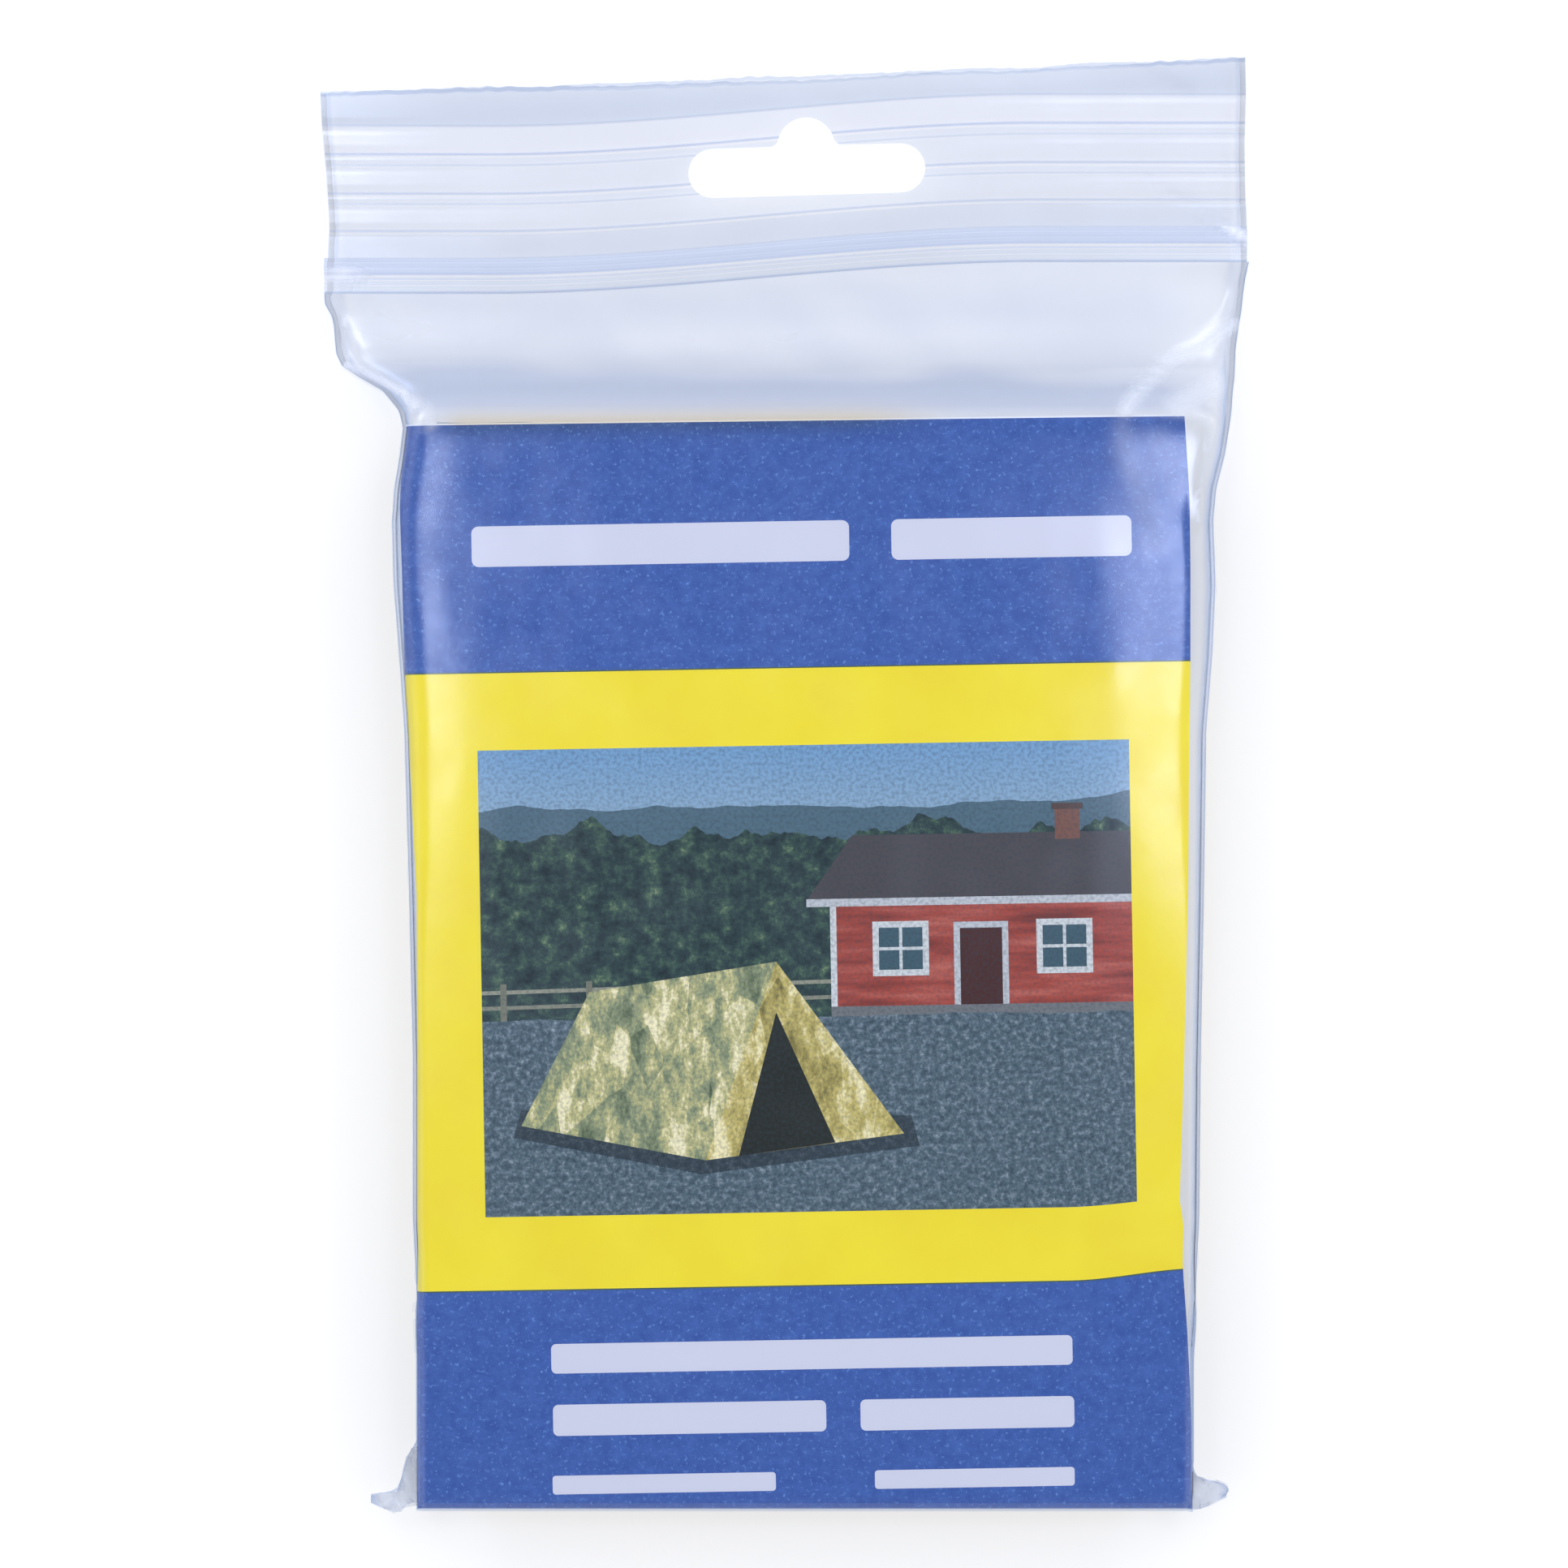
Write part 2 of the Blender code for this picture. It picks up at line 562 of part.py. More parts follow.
def build():
    """Build the pack from an empty scene."""
    for thing in list(bpy.data.objects):
        bpy.data.objects.remove(thing)
    pack = bpy.data.collections.new("packed_foil_blanket")
    cutters = bpy.data.collections.new("cutters")
    bpy.context.scene.collection.children.link(pack)
    bpy.context.scene.collection.children.link(cutters)

    film = finish_material("clear film", CLEAR_FILM)
    closure_film = finish_material("closure film", CLOSURE_FILM)
    foil_blanket(pack, finish_material("metallised foil", GOLD_FOIL))
    insert_card(pack, finish_material("printed card", PRINTED_CARD))
    pouch_film("front_film", front_inside, FILM, FRONT_FACE_COLUMNS, pack, film)
    pouch_film("back_film", back_inside, -FILM, BACK_FACE_COLUMNS, pack, film)
    closure(pack, closure_film)

    back_base = table_at(SECTIONS, "y", POUCH_TOP).weld - GAP / 2 - FILM
    cutter = hang_hole_cutter(cutters)
    punch(header_ply("header_back", back_base, 0.0, pack, film), cutter)
    punch(header_ply("header_front", back_base + FILM + GAP, FRONT_PLY_SHORTER, pack, film), cutter)


build()
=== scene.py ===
"""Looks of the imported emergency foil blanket: clear press-closure bag, printed card and folded foil.

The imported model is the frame. The pack lies on its back, +X to its right, +Y up to the hang hole and +Z out
of its printed face. Lengths are millimetres, and become metres where a mesh is made. The studio is in metres.
"""

import sys

import logging
import math
from collections.abc import Callable, Iterable, Sequence
from dataclasses import dataclass
from enum import Enum
from functools import lru_cache, partial
from typing import NamedTuple, TypeVar

import bmesh
import bpy
from mathutils import Matrix, Vector, noise


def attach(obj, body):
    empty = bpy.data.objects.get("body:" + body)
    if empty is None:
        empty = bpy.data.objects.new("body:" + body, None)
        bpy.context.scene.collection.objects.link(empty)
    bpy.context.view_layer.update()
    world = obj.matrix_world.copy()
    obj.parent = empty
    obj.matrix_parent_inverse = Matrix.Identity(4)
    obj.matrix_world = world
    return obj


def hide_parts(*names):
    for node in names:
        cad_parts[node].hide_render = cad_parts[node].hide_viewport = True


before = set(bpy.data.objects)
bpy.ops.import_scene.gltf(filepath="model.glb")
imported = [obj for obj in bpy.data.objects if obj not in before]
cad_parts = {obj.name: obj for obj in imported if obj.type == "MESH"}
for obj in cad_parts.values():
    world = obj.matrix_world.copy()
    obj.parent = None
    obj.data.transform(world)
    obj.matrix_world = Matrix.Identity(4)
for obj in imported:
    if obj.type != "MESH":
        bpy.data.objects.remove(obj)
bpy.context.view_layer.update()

LOG = logging.getLogger("foil_pack")
BODY = "root"
MM = 0.001
SMOOTH_ANGLE = math.radians(38)
FULL_TURN = 2.0 * math.pi

Point = tuple[float, float]
Ramp = Sequence[tuple[float, str]]
Inputs = dict[int | str, object]
Object = bpy.types.Object
Socket = bpy.types.NodeSocket
Tree = bpy.types.NodeTree
Adder = Callable[..., Socket]
Row = TypeVar("Row", bound=tuple)


# ---------------------------------------------------------------- colours and nodes


def linear(hex_colour: str) -> tuple[float, float, float, float]:
    """Turn an sRGB hex colour into a linear one.

    Args:
        hex_colour: Six hex digits.

    Returns:
        Linear red, green and blue, with an alpha of 1.
    """
    values = [int(hex_colour[n : n + 2], 16) / 255 for n in (0, 2, 4)]
    red, green, blue = (v / 12.92 if v <= 0.04045 else ((v + 0.055) / 1.055) ** 2.4 for v in values)
    return red, green, blue, 1.0


def feed(node: bpy.types.Node, inputs: Inputs) -> None:
    """Link or set inputs of a node.

    Args:
        node: Node of a tree.
        inputs: For each input, the output that feeds it or its plain value.
    """
    for name, value in inputs.items():
        if isinstance(value, Socket):
            node.id_data.links.new(value, node.inputs[name])
        else:
            node.inputs[name].default_value = value


def add_node(
    tree: Tree,
    kind: str,
    inputs: Inputs | None = None,
    output: int | str = 0,
    stops: Ramp = (),
    **settings: object,
) -> Socket:
    """Add a shader node with its settings and links.

    Args:
        tree: Node tree that it goes into.
        kind: Its type, without the words ShaderNode in front.
        inputs: For each input, the output that feeds it or its plain value.
        output: Which of its outputs is handed back.
        stops: Positions and sRGB hex colours, for a colour ramp.
        settings: Values of its own properties.

    Returns:
        The output asked for.
    """
    node = tree.nodes.new(f"ShaderNode{kind}")
    for name, value in settings.items():
        setattr(node, name, value)
    feed(node, inputs or {})
    if stops:
        elements = node.color_ramp.elements
        elements.remove(elements[1])
        elements[0].position, elements[0].color = stops[0][0], linear(stops[0][1])
        for position, colour in stops[1:]:
            elements.new(position).color = linear(colour)
    return node.outputs[output]


def new_material(name: str) -> tuple[bpy.types.Material, Tree, Adder]:
    """Start a node material.

    Args:
        name: The real material's name.

    Returns:
        The material, its node tree, and what adds a node to that tree.
    """
    material = bpy.data.materials.new(name)
    material.use_nodes = True
    return material, material.node_tree, partial(add_node, material.node_tree)


# ---------------------------------------------------------------- tables and plain sums


class Section(NamedTuple):
    """Cross-section of the pouch at one height along it.

    left and right are the bag's outline, and the walls are where the film turns up from the weld. Each reach
    is how far in from its wall the face is level, and weld is the height at which the two films meet. lift
    and sink say how far the front rises to the card's face and the back drops to the surface, and power says
    how square the shoulder is.
    """

    y: float
    left: float
    wall_left: float
    wall_right: float
    right: float
    reach_left: float = 2.0
    reach_right: float = 2.0
    weld: float = 5.0
    lift: float = 1.0
    sink: float = 1.0
    power: float = 7.0


class EdgePoint(NamedTuple):
    """Point of an edge that is read along x."""

    x: float
    y: float


class SidePair(NamedTuple):
    """Left and right edge of a piece at one value of y."""

    y: float
    left: float
    right: float


def rows_of(kind: type[Row], *rows: tuple) -> tuple[Row, ...]:
    """Name the fields of a table whose rows are all of one kind."""
    return tuple(kind(*row) for row in rows)


def row_at(table: Sequence[Row], value: float) -> Row:
    """Read a table of rows, in a straight line between its two nearest rows.

    Args:
        table: Rows in the order of their first field.
        value: Value of the first field to read at.

    Returns:
        A row of the same kind.
    """
    if value <= table[0][0]:
        return table[0]
    for before, after in zip(table, table[1:]):
        if value <= after[0]:
            share = (value - before[0]) / (after[0] - before[0])
            return type(before)(*(a + share * (b - a) for a, b in zip(before, after)))
    return table[-1]


def spread(start: float, end: float, pitch: float) -> list[float]:
    """Evenly spaced values between start and end, without either, about a pitch apart."""
    count = max(1, round(abs(end - start) / pitch))
    return [start + (end - start) * n / count for n in range(1, count)]


def fade(value: float, start: float, end: float) -> float:
    """Smooth step of a value, from 0 at start to 1 at end."""
    share = min(max((value - start) / (end - start), 0.0), 1.0)
    return share * share * (3.0 - 2.0 * share)


def bell(distance: float, width: float) -> float:
    """1 at no distance, and about a third one width away."""
    return math.exp(-((distance / width) ** 2))


def uneven(x: float, y: float, width: float, length: float, seed: float) -> float:
    """Smooth noise from -1 to 1, in patches about this wide along x and this long along y."""
    return noise.noise(Vector((x / width, y / length, seed)))


# ---------------------------------------------------------------- the shape that all pieces follow


class Stroke(NamedTuple):
    """Soft stroke along a line of points: a ridge of the film, or a soft painted highlight along a fold."""

    points: tuple[Point, ...]
    width: float
    height: float

    def at(self, x: float, y: float) -> float:
        """Read the ridge's height or the painted highlight's strength.

        Args:
            x: Place across the pack.
            y: Place along the pack.

        Returns:
            The stroke's height on its line, and less beside it.
        """
        spot = Vector((x, y))
        nearest = math.inf
        for start, end in zip(self.points, self.points[1:]):
            along = Vector(end) - Vector(start)
            share = min(max((spot - Vector(start)).dot(along) / along.length_squared, 0.0), 1.0)
            nearest = min(nearest, (spot - Vector(start) - share * along).length)
        return self.height * bell(nearest, self.width)


@dataclass(frozen=True, eq=False)
class PouchForm:
    """Form of the filled bag: the outline, the heights of both films, and the closure's climb.

    The face falls towards each long side by rolls, each of which is a reach from the wall and a depth. The
    creases are ridges of the slack film: the arc from the closure's right end over the card's corner in two
    parts, the fold that runs in from the left seam, and a fold beside each seam.
    """

    film: float = 0.12
    weld_half: float = 0.04
    bottom_edge: float = -93.1
    bottom_wall: float = -91.8
    bottom_reach: float = 2.5
    low_reach: float = 1.4
    ears_top: float = -84.0
    slack_start: float = 46.0
    climb_start: float = 54.0
    top: float = 65.6
    closure_top: float = 70.2
    closure_left: float = -59.5
    closure_right: float = 60.2
    blanket_base: float = 1.3
    blanket_height: float = 9.88
    blanket_half_width: float = 46.2
    blanket_bottom: float = -90.6
    blanket_end: float = 48.3
    face_over_blanket: float = 2.7
    rounding: float = 0.7
    exact_fields: int = 5
    roll_left: tuple[Point, ...] = ((6.6, 0.23), (2.4, 0.22))
    roll_right: tuple[Point, ...] = ((15.0, 0.45), (3.6, 0.36))
    sections: tuple[Section, ...] = rows_of(
        Section, (-91.8, -53.4, -45.9, 51.2, 57.2), (-91.5, -51.2, -45.9, 51.2, 57.5),
        (-91.0, -50.0, -45.9, 51.2, 57.5), (-90.3, -49.7, -45.9, 51.2, 56.6),
        (-89.6, -49.4, -45.9, 51.3, 53.5), (-88.5, -49.2, -45.9, 51.3, 52.8),
        (-86.2, -48.6, -45.9, 51.3, 52.6), (-85.2, -47.3, -45.9, 51.3, 52.6),
        (-73.0, -47.2, -45.9, 51.3, 52.6), (-66.0, -47.4, -46.1, 51.8, 53.1, 2.0, 2.2),
        (-56.0, -47.9, -46.6, 52.3, 53.6, 2.0, 2.5), (-35.0, -47.9, -46.6, 52.5, 53.8, 2.0, 3.0),
        (-14.0, -48.4, -47.1, 52.9, 54.2, 2.2, 3.5), (7.0, -49.0, -47.7, 53.2, 54.5, 2.5, 4.0),
        (17.0, -49.7, -48.4, 54.0, 55.3, 3.0, 5.0), (26.0, -50.4, -49.1, 54.4, 55.7, 3.5, 5.5),
        (34.0, -50.6, -49.3, 54.1, 55.4, 3.5, 5.5), (38.2, -50.3, -49.0, 54.5, 55.8, 3.5, 6.0, 4.9),
        (42.5, -49.6, -48.3, 55.6, 56.9, 3.0, 6.5, 4.8), (46.0, -49.2, -47.9, 56.2, 57.5, 3.0, 8.0, 4.6),
        (48.2, -49.7, -48.3, 56.4, 57.8, 6.0, 9.0, 4.3, 0.97, 0.97, 3.5),
        (50.8, -51.8, -50.2, 56.5, 58.0, 10.0, 12.0, 3.9, 0.8, 0.85, 3.0),
        (52.4, -54.6, -52.8, 56.5, 58.2, 14.0, 15.0, 3.6, 0.64, 0.75, 2.6),
        (54.0, -57.1, -55.1, 56.4, 58.3, 18.0, 18.0, 3.4, 0.48, 0.65, 2.2),
        (56.0, -57.9, -55.9, 56.4, 58.4, 21.0, 21.0, 3.1, 0.37, 0.5, 2.0),
        (58.4, -58.1, -56.1, 56.8, 58.8, 24.0, 24.0, 2.8, 0.27, 0.36, 2.0),
        (60.3, -58.2, -56.2, 57.2, 59.2, 27.0, 27.0, 2.6, 0.2, 0.26, 2.0),
        (62.0, -58.5, -56.5, 57.4, 59.4, 30.0, 30.0, 2.4, 0.13, 0.17, 2.0),
        (63.8, -59.4, -57.2, 57.5, 59.7, 30.0, 30.0, 2.2, 0.06, 0.08, 2.0),
        (65.6, -59.5, -57.3, 58.0, 60.2, 30.0, 30.0, 2.0, 0.0, 0.0, 2.0),
    )
    bottom_outline: tuple[EdgePoint, ...] = rows_of(
        EdgePoint, (-53.4, -92.9), (-50.4, -94.2), (-48.15, -93.0), (-45.9, -93.1), (51.2, -93.1),
        (53.0, -93.7), (54.8, -93.3), (57.2, -92.2),
    )
    arc: Stroke = Stroke(
        ((58.0, 61.5), (54.0, 58.8), (50.2, 56.6), (46.6, 54.2), (43.8, 51.0), (42.2, 47.6)), 2.1, 0.4
    )
    arc_on_card: Stroke = Stroke(
        ((42.2, 47.6), (42.6, 44.4), (44.3, 40.3), (47.4, 36.4), (50.8, 32.0)), 2.6, 0.07
    )
    fold_in: Stroke = Stroke(((-57.0, 55.2), (-53.4, 52.6), (-50.0, 50.2), (-47.6, 47.4)), 1.4, 0.8)
    right_fold: Stroke = Stroke(
        ((57.4, 58.0), (56.9, 51.0), (55.0, 45.0), (53.6, 39.0), (53.9, 33.0)), 0.7, 0.5
    )
    left_fold: Stroke = Stroke(((-55.5, 60.0), (-54.6, 56.0), (-53.0, 53.0)), 0.9, 0.4)

    @staticmethod
    def warm(x: float, y: float) -> float:
        """How much painted gold the slack film gets just above the card: a painted sheen that stands in for
        the foil's gold seen, blurred, through it.
        """
        above = y - 46.6 - 0.0125 * x
        return 0.9 * bell(above, 1.7) * fade(x, -46.0, -41.0) * fade(x, 24.0, 8.0)

    @lru_cache(maxsize=None)
    def section(self, y: float) -> Section:
        """Cross-section at y, with the heights' corners rounded above the bottom's ears.

        Args:
            y: Place along the pack.

        Returns:
            The cross-section, whose outline and walls are the table's own.
        """
        exact = row_at(self.sections, y)
        if y < self.ears_top:
            return exact
        near = [row_at(self.sections, y + step * self.rounding) for step in (-2, -1, 0, 1, 2)]
        mean = [sum(values) / len(near) for values in zip(*near)]
        section = Section(*exact[: self.exact_fields], *mean[self.exact_fields :])
        return section if y < self.top - 0.01 else section._replace(lift=0.0, sink=0.0)

    def outward(self, y: float) -> float:
        """How far the film's outer face stands outside the section's walls, which is more low down."""
        return 0.75 + 0.65 * fade(y, -58.0, -70.0)

    @staticmethod
    def shoulder(distance: float, reach: float, power: float) -> float:
        """Rounded shoulder, from 0 at the wall to 1 where the face is level."""
        share = min(max(distance / reach, 0.0), 1.0)
        return (1.0 - (1.0 - share) ** power) ** (1.0 / power)

    def rise(self, x: float, y: float, inset: float) -> float:
        """Share of its full height that a film has at a point.

        Args:
            x: Place across the pack.
            y: Place along the pack.
            inset: How far inside the film's outer face.

        Returns:
            0 at the welds and 1 on the level face.
        """
        section = self.section(y)
        out = self.outward(y) - inset
        low_wall = self.bottom_wall - self.low_reach + inset
        left = self.shoulder(x - section.wall_left + out, section.reach_left + out, section.power)
        right = self.shoulder(section.wall_right + out - x, section.reach_right + out, section.power)
        return left * right * self.shoulder(y - low_wall, self.bottom_reach + self.low_reach, section.power)

    def middle(self, y: float) -> float:
        """X of the blanket's middle at y."""
        return 1.2 - 0.0112 * (y - self.slack_start)

    def pillow(self, x: float, y: float) -> float:
        """Share of its middle height that the blanket has at a point.

        Args:
            x: Place across the pack.
            y: Place along the pack.

        Returns:
            1 in the middle and a few percent less at the edges.
        """
        half = (self.blanket_end - self.blanket_bottom) / 2
        across = min(abs(x - self.middle(y)) / self.blanket_half_width, 1.05)
        along = min(abs(y - self.blanket_bottom - half) / half, 1.05)
        return 1.0 - 0.02 * (across**6 + along**6)

    def roll(self, x: float, y: float) -> float:
        """How far the face falls towards the pack's long sides, where the blanket's folds are softer.

        Args:
            x: Place across the pack.
            y: Place along the pack.

        Returns:
            The drop, which fades out towards the pack's bottom.
        """
        section, drop = self.section(y), 0.0
        for distance, rolls in (
            (x - section.wall_left, self.roll_left),
            (section.wall_right - x, self.roll_right),
        ):
            drop += sum(depth * min(max(1.0 - distance / reach, 0.0), 1.3) ** 2 for reach, depth in rolls)
        return drop * fade(y, -32.0, 10.0)

    def slack(self, x: float, y: float) -> float:
        """Height that ridges and faint ripples add where the film isn't stretched.

        Args:
            x: Place across the pack.
            y: Place along the pack.

        Returns:
            The height added.
        """
        lift = self.section(y).lift
        loose = min((1.0 - lift) * 5.0, lift * 6.0, 1.0)
        ripple = 0.07 * uneven(x, y, 17.0, 31.0, 0.3) + 0.025 * uneven(x, y, 4.5, 11.0, 7.1)
        ridge = loose * max(fold.at(x, y) for fold in (self.arc, self.fold_in, self.left_fold))
        ridge += max(self.arc_on_card.at(x, y), self.right_fold.at(x, y))
        return ripple + ridge + 0.12 * loose * uneven(x, y, 16.0, 7.0, 2.2)

    def painted_side_shade(self, x: float, y: float) -> float:
        """How much painted shade the welded sides get, with a painted dark line along the outline and another
        beside it.

        Args:
            x: Place across the pack.
            y: Place along the pack, after the closure's climb.

        Returns:
            The painted shade of the nearer side.
        """
        slope = self.climb(x) / (self.top - self.climb_start)
        section = self.section((y + self.climb_start * slope) / (1.0 + slope) if y > self.climb_start else y)
        wobble = 0.1 * uneven(y, x, 2.2, 20.0, 6.0)
        # Painted shade that stands in for the shadowed floor seen through the side strips, deeper towards the
        # top.
        base = 0.2 + 0.16 * fade(y, 8.0, 28.0)
        side_shades = [0.0]
        for distance, margin in (
            (x - section.left, section.wall_left - section.left),
            (section.right - x, section.right - section.wall_right),
        ):
            # Painted dark lines for the shade where the film turns away: one along the outline and one about
            # 0.8 mm inside it.
            lines = 0.8 * bell(distance - 0.04, 0.13) + 0.3 * bell(distance - 0.8 - wobble, 0.15)
            side_shades.append(base * fade(distance, margin + 1.0, margin - 0.2) + lines)
        return max(side_shades)

    def grey(self, x: float, y: float) -> float:
        """How much painted shade the film gets along its sides, and where it rises steeply between closure
        and card.

        Args:
            x: Place across the pack.
            y: Place along the pack, after the closure's climb.

        Returns:
            The painted shade, from none to about 1.
        """
        # Painted shade: deepest on the steep film just above the card, less near the closure, with soft
        # painted streaks across the slack film, fading out towards both sides.
        edge = 54.4 - 0.02 * x + 1.6 * uneven(x, 0.0, 16.0, 1.0, 4.0)
        low = fade(y, edge, edge - 3.0) * fade(y, 47.4, 48.8)
        high = fade(y, 66.0, 63.0) * (0.5 + 0.5 * uneven(x, y, 12.0, 3.5, 1.0))
        streak = 0.5 + 0.5 * uneven(x / 7.0 + y / 9.0, y, 1.0, 22.0, 9.0)
        tent = 0.6 * low + (0.24 * high + 0.18 * streak) * (1.0 - low) * fade(y, 46.0, 48.0)
        return max(tent * fade(x, -57.5, -53.5) * fade(x, 57.0, 48.0), self.painted_side_shade(x, y))

    def front(
        self, x: float, y: float, inset: float = 0.0, loose: bool = True, least: float = 0.0
    ) -> float:
        """Height of the front film's outer face, or of a face this far inside it.

        Args:
            x: Place across the pack.
            y: Place along the pack.
            inset: How far inside the outer face.
            loose: Whether the film's ridges and ripples count.
            least: Least share of the full height, for a card too stiff to turn down the wall.

        Returns:
            Height above the surface.
        """
        section = self.section(y)
        weld = section.weld + self.weld_half + self.film
        face = self.blanket_base + self.blanket_height * self.pillow(x, y) + self.face_over_blanket
        rise = max(self.rise(x, y, inset), least)
        height = weld + rise * section.lift * (face - self.roll(x, y) - weld)
        return height + (rise * self.slack(x, y) if loose else 0.0) - min(inset, self.film)

    def back(self, x: float, y: float, inset: float) -> float:
        """Height of the face this far inside the back film's outer one."""
        weld = self.section(y).weld - self.weld_half - self.film
        return weld - self.rise(x, y, inset) * self.section(y).sink * weld + min(inset, self.film)

    def climb(self, x: float) -> float:
        """How far the closure lies above or below its middle height at x."""
        return -2.1 + 4.1 * fade(x, -38.2, 33.1)

    def climb_share(self, y: float) -> float:
        """Share of the closure's climb that the pouch takes at y."""
        return max(y - self.climb_start, 0.0) / (self.top - self.climb_start)

    def droop(self, x: float, y: float) -> float:
        """How far the bag's bottom corners hang below the weld."""
        corners = 1.6 * fade(x, -47.6, -53.6) + 1.9 * fade(x, 52.8, 57.8)
        return corners * fade(y, self.ears_top, self.ears_top - 5.0)


FORM = PouchForm()


# ---------------------------------------------------------------- meshes


def deselect_all() -> None:
    """Leave edit mode and deselect every object."""
    if bpy.context.object and bpy.context.object.mode != "OBJECT":
        bpy.ops.object.mode_set(mode="OBJECT")
    bpy.ops.object.select_all(action="DESELECT")


def make_active(thing: Object) -> None:
    """Select one object alone and make it the active one.

    Args:
        thing: The object.
    """
    deselect_all()
    thing.select_set(True)
    bpy.context.view_layer.objects.active = thing


def apply_modifiers(thing: Object) -> None:
    """Apply every modifier of an object, in order.

    Args:
        thing: The object.
    """
    make_active(thing)
    for modifier in list(thing.modifiers):
        bpy.ops.object.modifier_apply(modifier=modifier.name)


def add_mesh(name: str, shape: bmesh.types.BMesh) -> Object:
    """Add an object with a finished shape, and free the shape.

    Args:
        name: Object's name.
        shape: Its points and faces.

    Returns:
        The new object.
    """
    mesh = bpy.data.meshes.new(name)
    shape.to_mesh(mesh)
    shape.free()
    thing = bpy.data.objects.new(name, mesh)
    bpy.context.scene.collection.objects.link(thing)
    return thing


def closed_sheet(
    name: str,
    columns: Sequence,
    rows: Sequence,
    point: Callable[..., Vector],
    faces: tuple[float, float],
    flat: Callable[..., Point] | None = None,
) -> Object:
    """Make a closed sheet whose two faces are placed point by point.

    Args:
        name: Object's name.
        columns: What is known of each column of points.
        rows: The same of each row.
        point: Place of a column and row on a face.
        faces: Values that tell point the first face and the second one.
        flat: Place of a column and row on the flat sheet, for its UV map.

    Returns:
        The new object.
    """
    sheet = bmesh.new()
    bmesh.ops.create_grid(sheet, x_segments=len(columns) - 1, y_segments=len(rows) - 1, size=1.0)
    number = sheet.verts.layers.int.new("number")
    for n, vert in enumerate(sheet.verts):
        vert[number] = n
    grown = bmesh.ops.extrude_face_region(sheet, geom=sheet.faces[:])["geom"]
    far = {vert for vert in grown if isinstance(vert, bmesh.types.BMVert)}
    for vert in sheet.verts:
        row, column = divmod(vert[number], len(columns))
        vert.co = point(columns[column], rows[row], faces[vert in far]) * MM
    if flat:
        layer = sheet.loops.layers.uv.new("flat")
        for loop in (loop for face in sheet.faces for loop in face.loops):
            row, column = divmod(loop.vert[number], len(columns))
            loop[layer].uv = flat(columns[column], rows[row])
    bmesh.ops.recalc_face_normals(sheet, faces=sheet.faces[:])
    sheet.verts.layers.int.remove(number)
    return add_mesh(name, sheet)


def add_line(points: Sequence[Vector], closed: bool) -> Object:
    """Add a curve of straight lines.

    Args:
        points: Its points.
        closed: Whether its end joins its start.

    Returns:
        The curve's object.
    """
    deselect_all()
    bpy.ops.curve.primitive_nurbs_path_add()
    thing = bpy.context.object
    thing.data.splines.clear()
    line = thing.data.splines.new("POLY")
    line.points.add(len(points) - 1)
    for point, place in zip(line.points, points):
        point.co = (*(place * MM), 1.0)
    line.use_cyclic_u = closed
    return thing


def swept_bead(
    name: str, path: Sequence[Vector], profile: Sequence[Vector], sizes: Sequence[float]
) -> Object:
    """Sweep a closed profile along a path, upright all the way.

    Args:
        name: Object's name.
        path: Points of the path.
        profile: Outline of the profile, with Y upwards.
        sizes: Scale of the profile at each point of the path.

    Returns:
        A closed mesh object at the origin.
    """
    section = add_line(profile, closed=True)
    section.data.dimensions = "2D"
    thing = add_line(path, closed=False)
    thing.name = thing.data.name = name
    for point, size in zip(thing.data.splines[0].points, sizes):
        point.radius = size
    thing.data.dimensions = "3D"
    thing.data.twist_mode = "Z_UP"
    thing.data.bevel_mode = "OBJECT"
    thing.data.bevel_object = section
    thing.data.use_fill_caps = True
    make_active(thing)
    bpy.ops.object.convert(target="MESH")
    thing = bpy.context.object
    bpy.ops.object.mode_set(mode="EDIT")
    bpy.ops.mesh.select_all(action="SELECT")
    bpy.ops.mesh.remove_doubles(threshold=1e-6)
    bpy.ops.mesh.normals_make_consistent(inside=False)
    bpy.ops.object.mode_set(mode="OBJECT")
    bpy.data.objects.remove(section)
    return thing


def plate(name: str, outline: Sequence[Point], base: float, height: float, cuts: int = 0) -> Object:
    """Make a flat plate from its outline.

    Args:
        name: Object's name.
        outline: Its outline, anticlockwise.
        base: Height of its lower face.
        height: How thick it is.
        cuts: Number of cuts through each edge of its triangles, for a plate that is shaped further.

    Returns:
        The plate's object.
    """
    deselect_all()
    bpy.ops.mesh.primitive_circle_add(vertices=len(outline), radius=0.01, fill_type="NGON")
    thing = bpy.context.object
    thing.name = thing.data.name = name
    for vert, (x, y) in zip(thing.data.vertices, outline):
        vert.co = Vector((x, y, base)) * MM
    bpy.ops.object.mode_set(mode="EDIT")
    bpy.ops.mesh.select_all(action="SELECT")
    bpy.ops.mesh.extrude_region_move(TRANSFORM_OT_translate={"value": (0.0, 0.0, height * MM)})
    bpy.ops.mesh.select_all(action="SELECT")
    if cuts:
        bpy.ops.mesh.quads_convert_to_tris()
        bpy.ops.mesh.subdivide(number_cuts=cuts, smoothness=0.0)
    bpy.ops.mesh.normals_make_consistent(inside=False)
    bpy.ops.object.mode_set(mode="OBJECT")
    return thing


def paint(thing: Object, name: str, amount: Callable[[float, float], float]) -> None:
    """Store a value on each point of a piece.

    Args:
        thing: The piece.
        name: What the value says, such as how milky or how grey a film is.
        amount: The value at an x and y.
    """
    layer = thing.data.attributes.new(name, "FLOAT", "POINT")
    for vert, value in zip(thing.data.vertices, layer.data):
        value.value = amount(vert.co.x / MM, vert.co.y / MM)


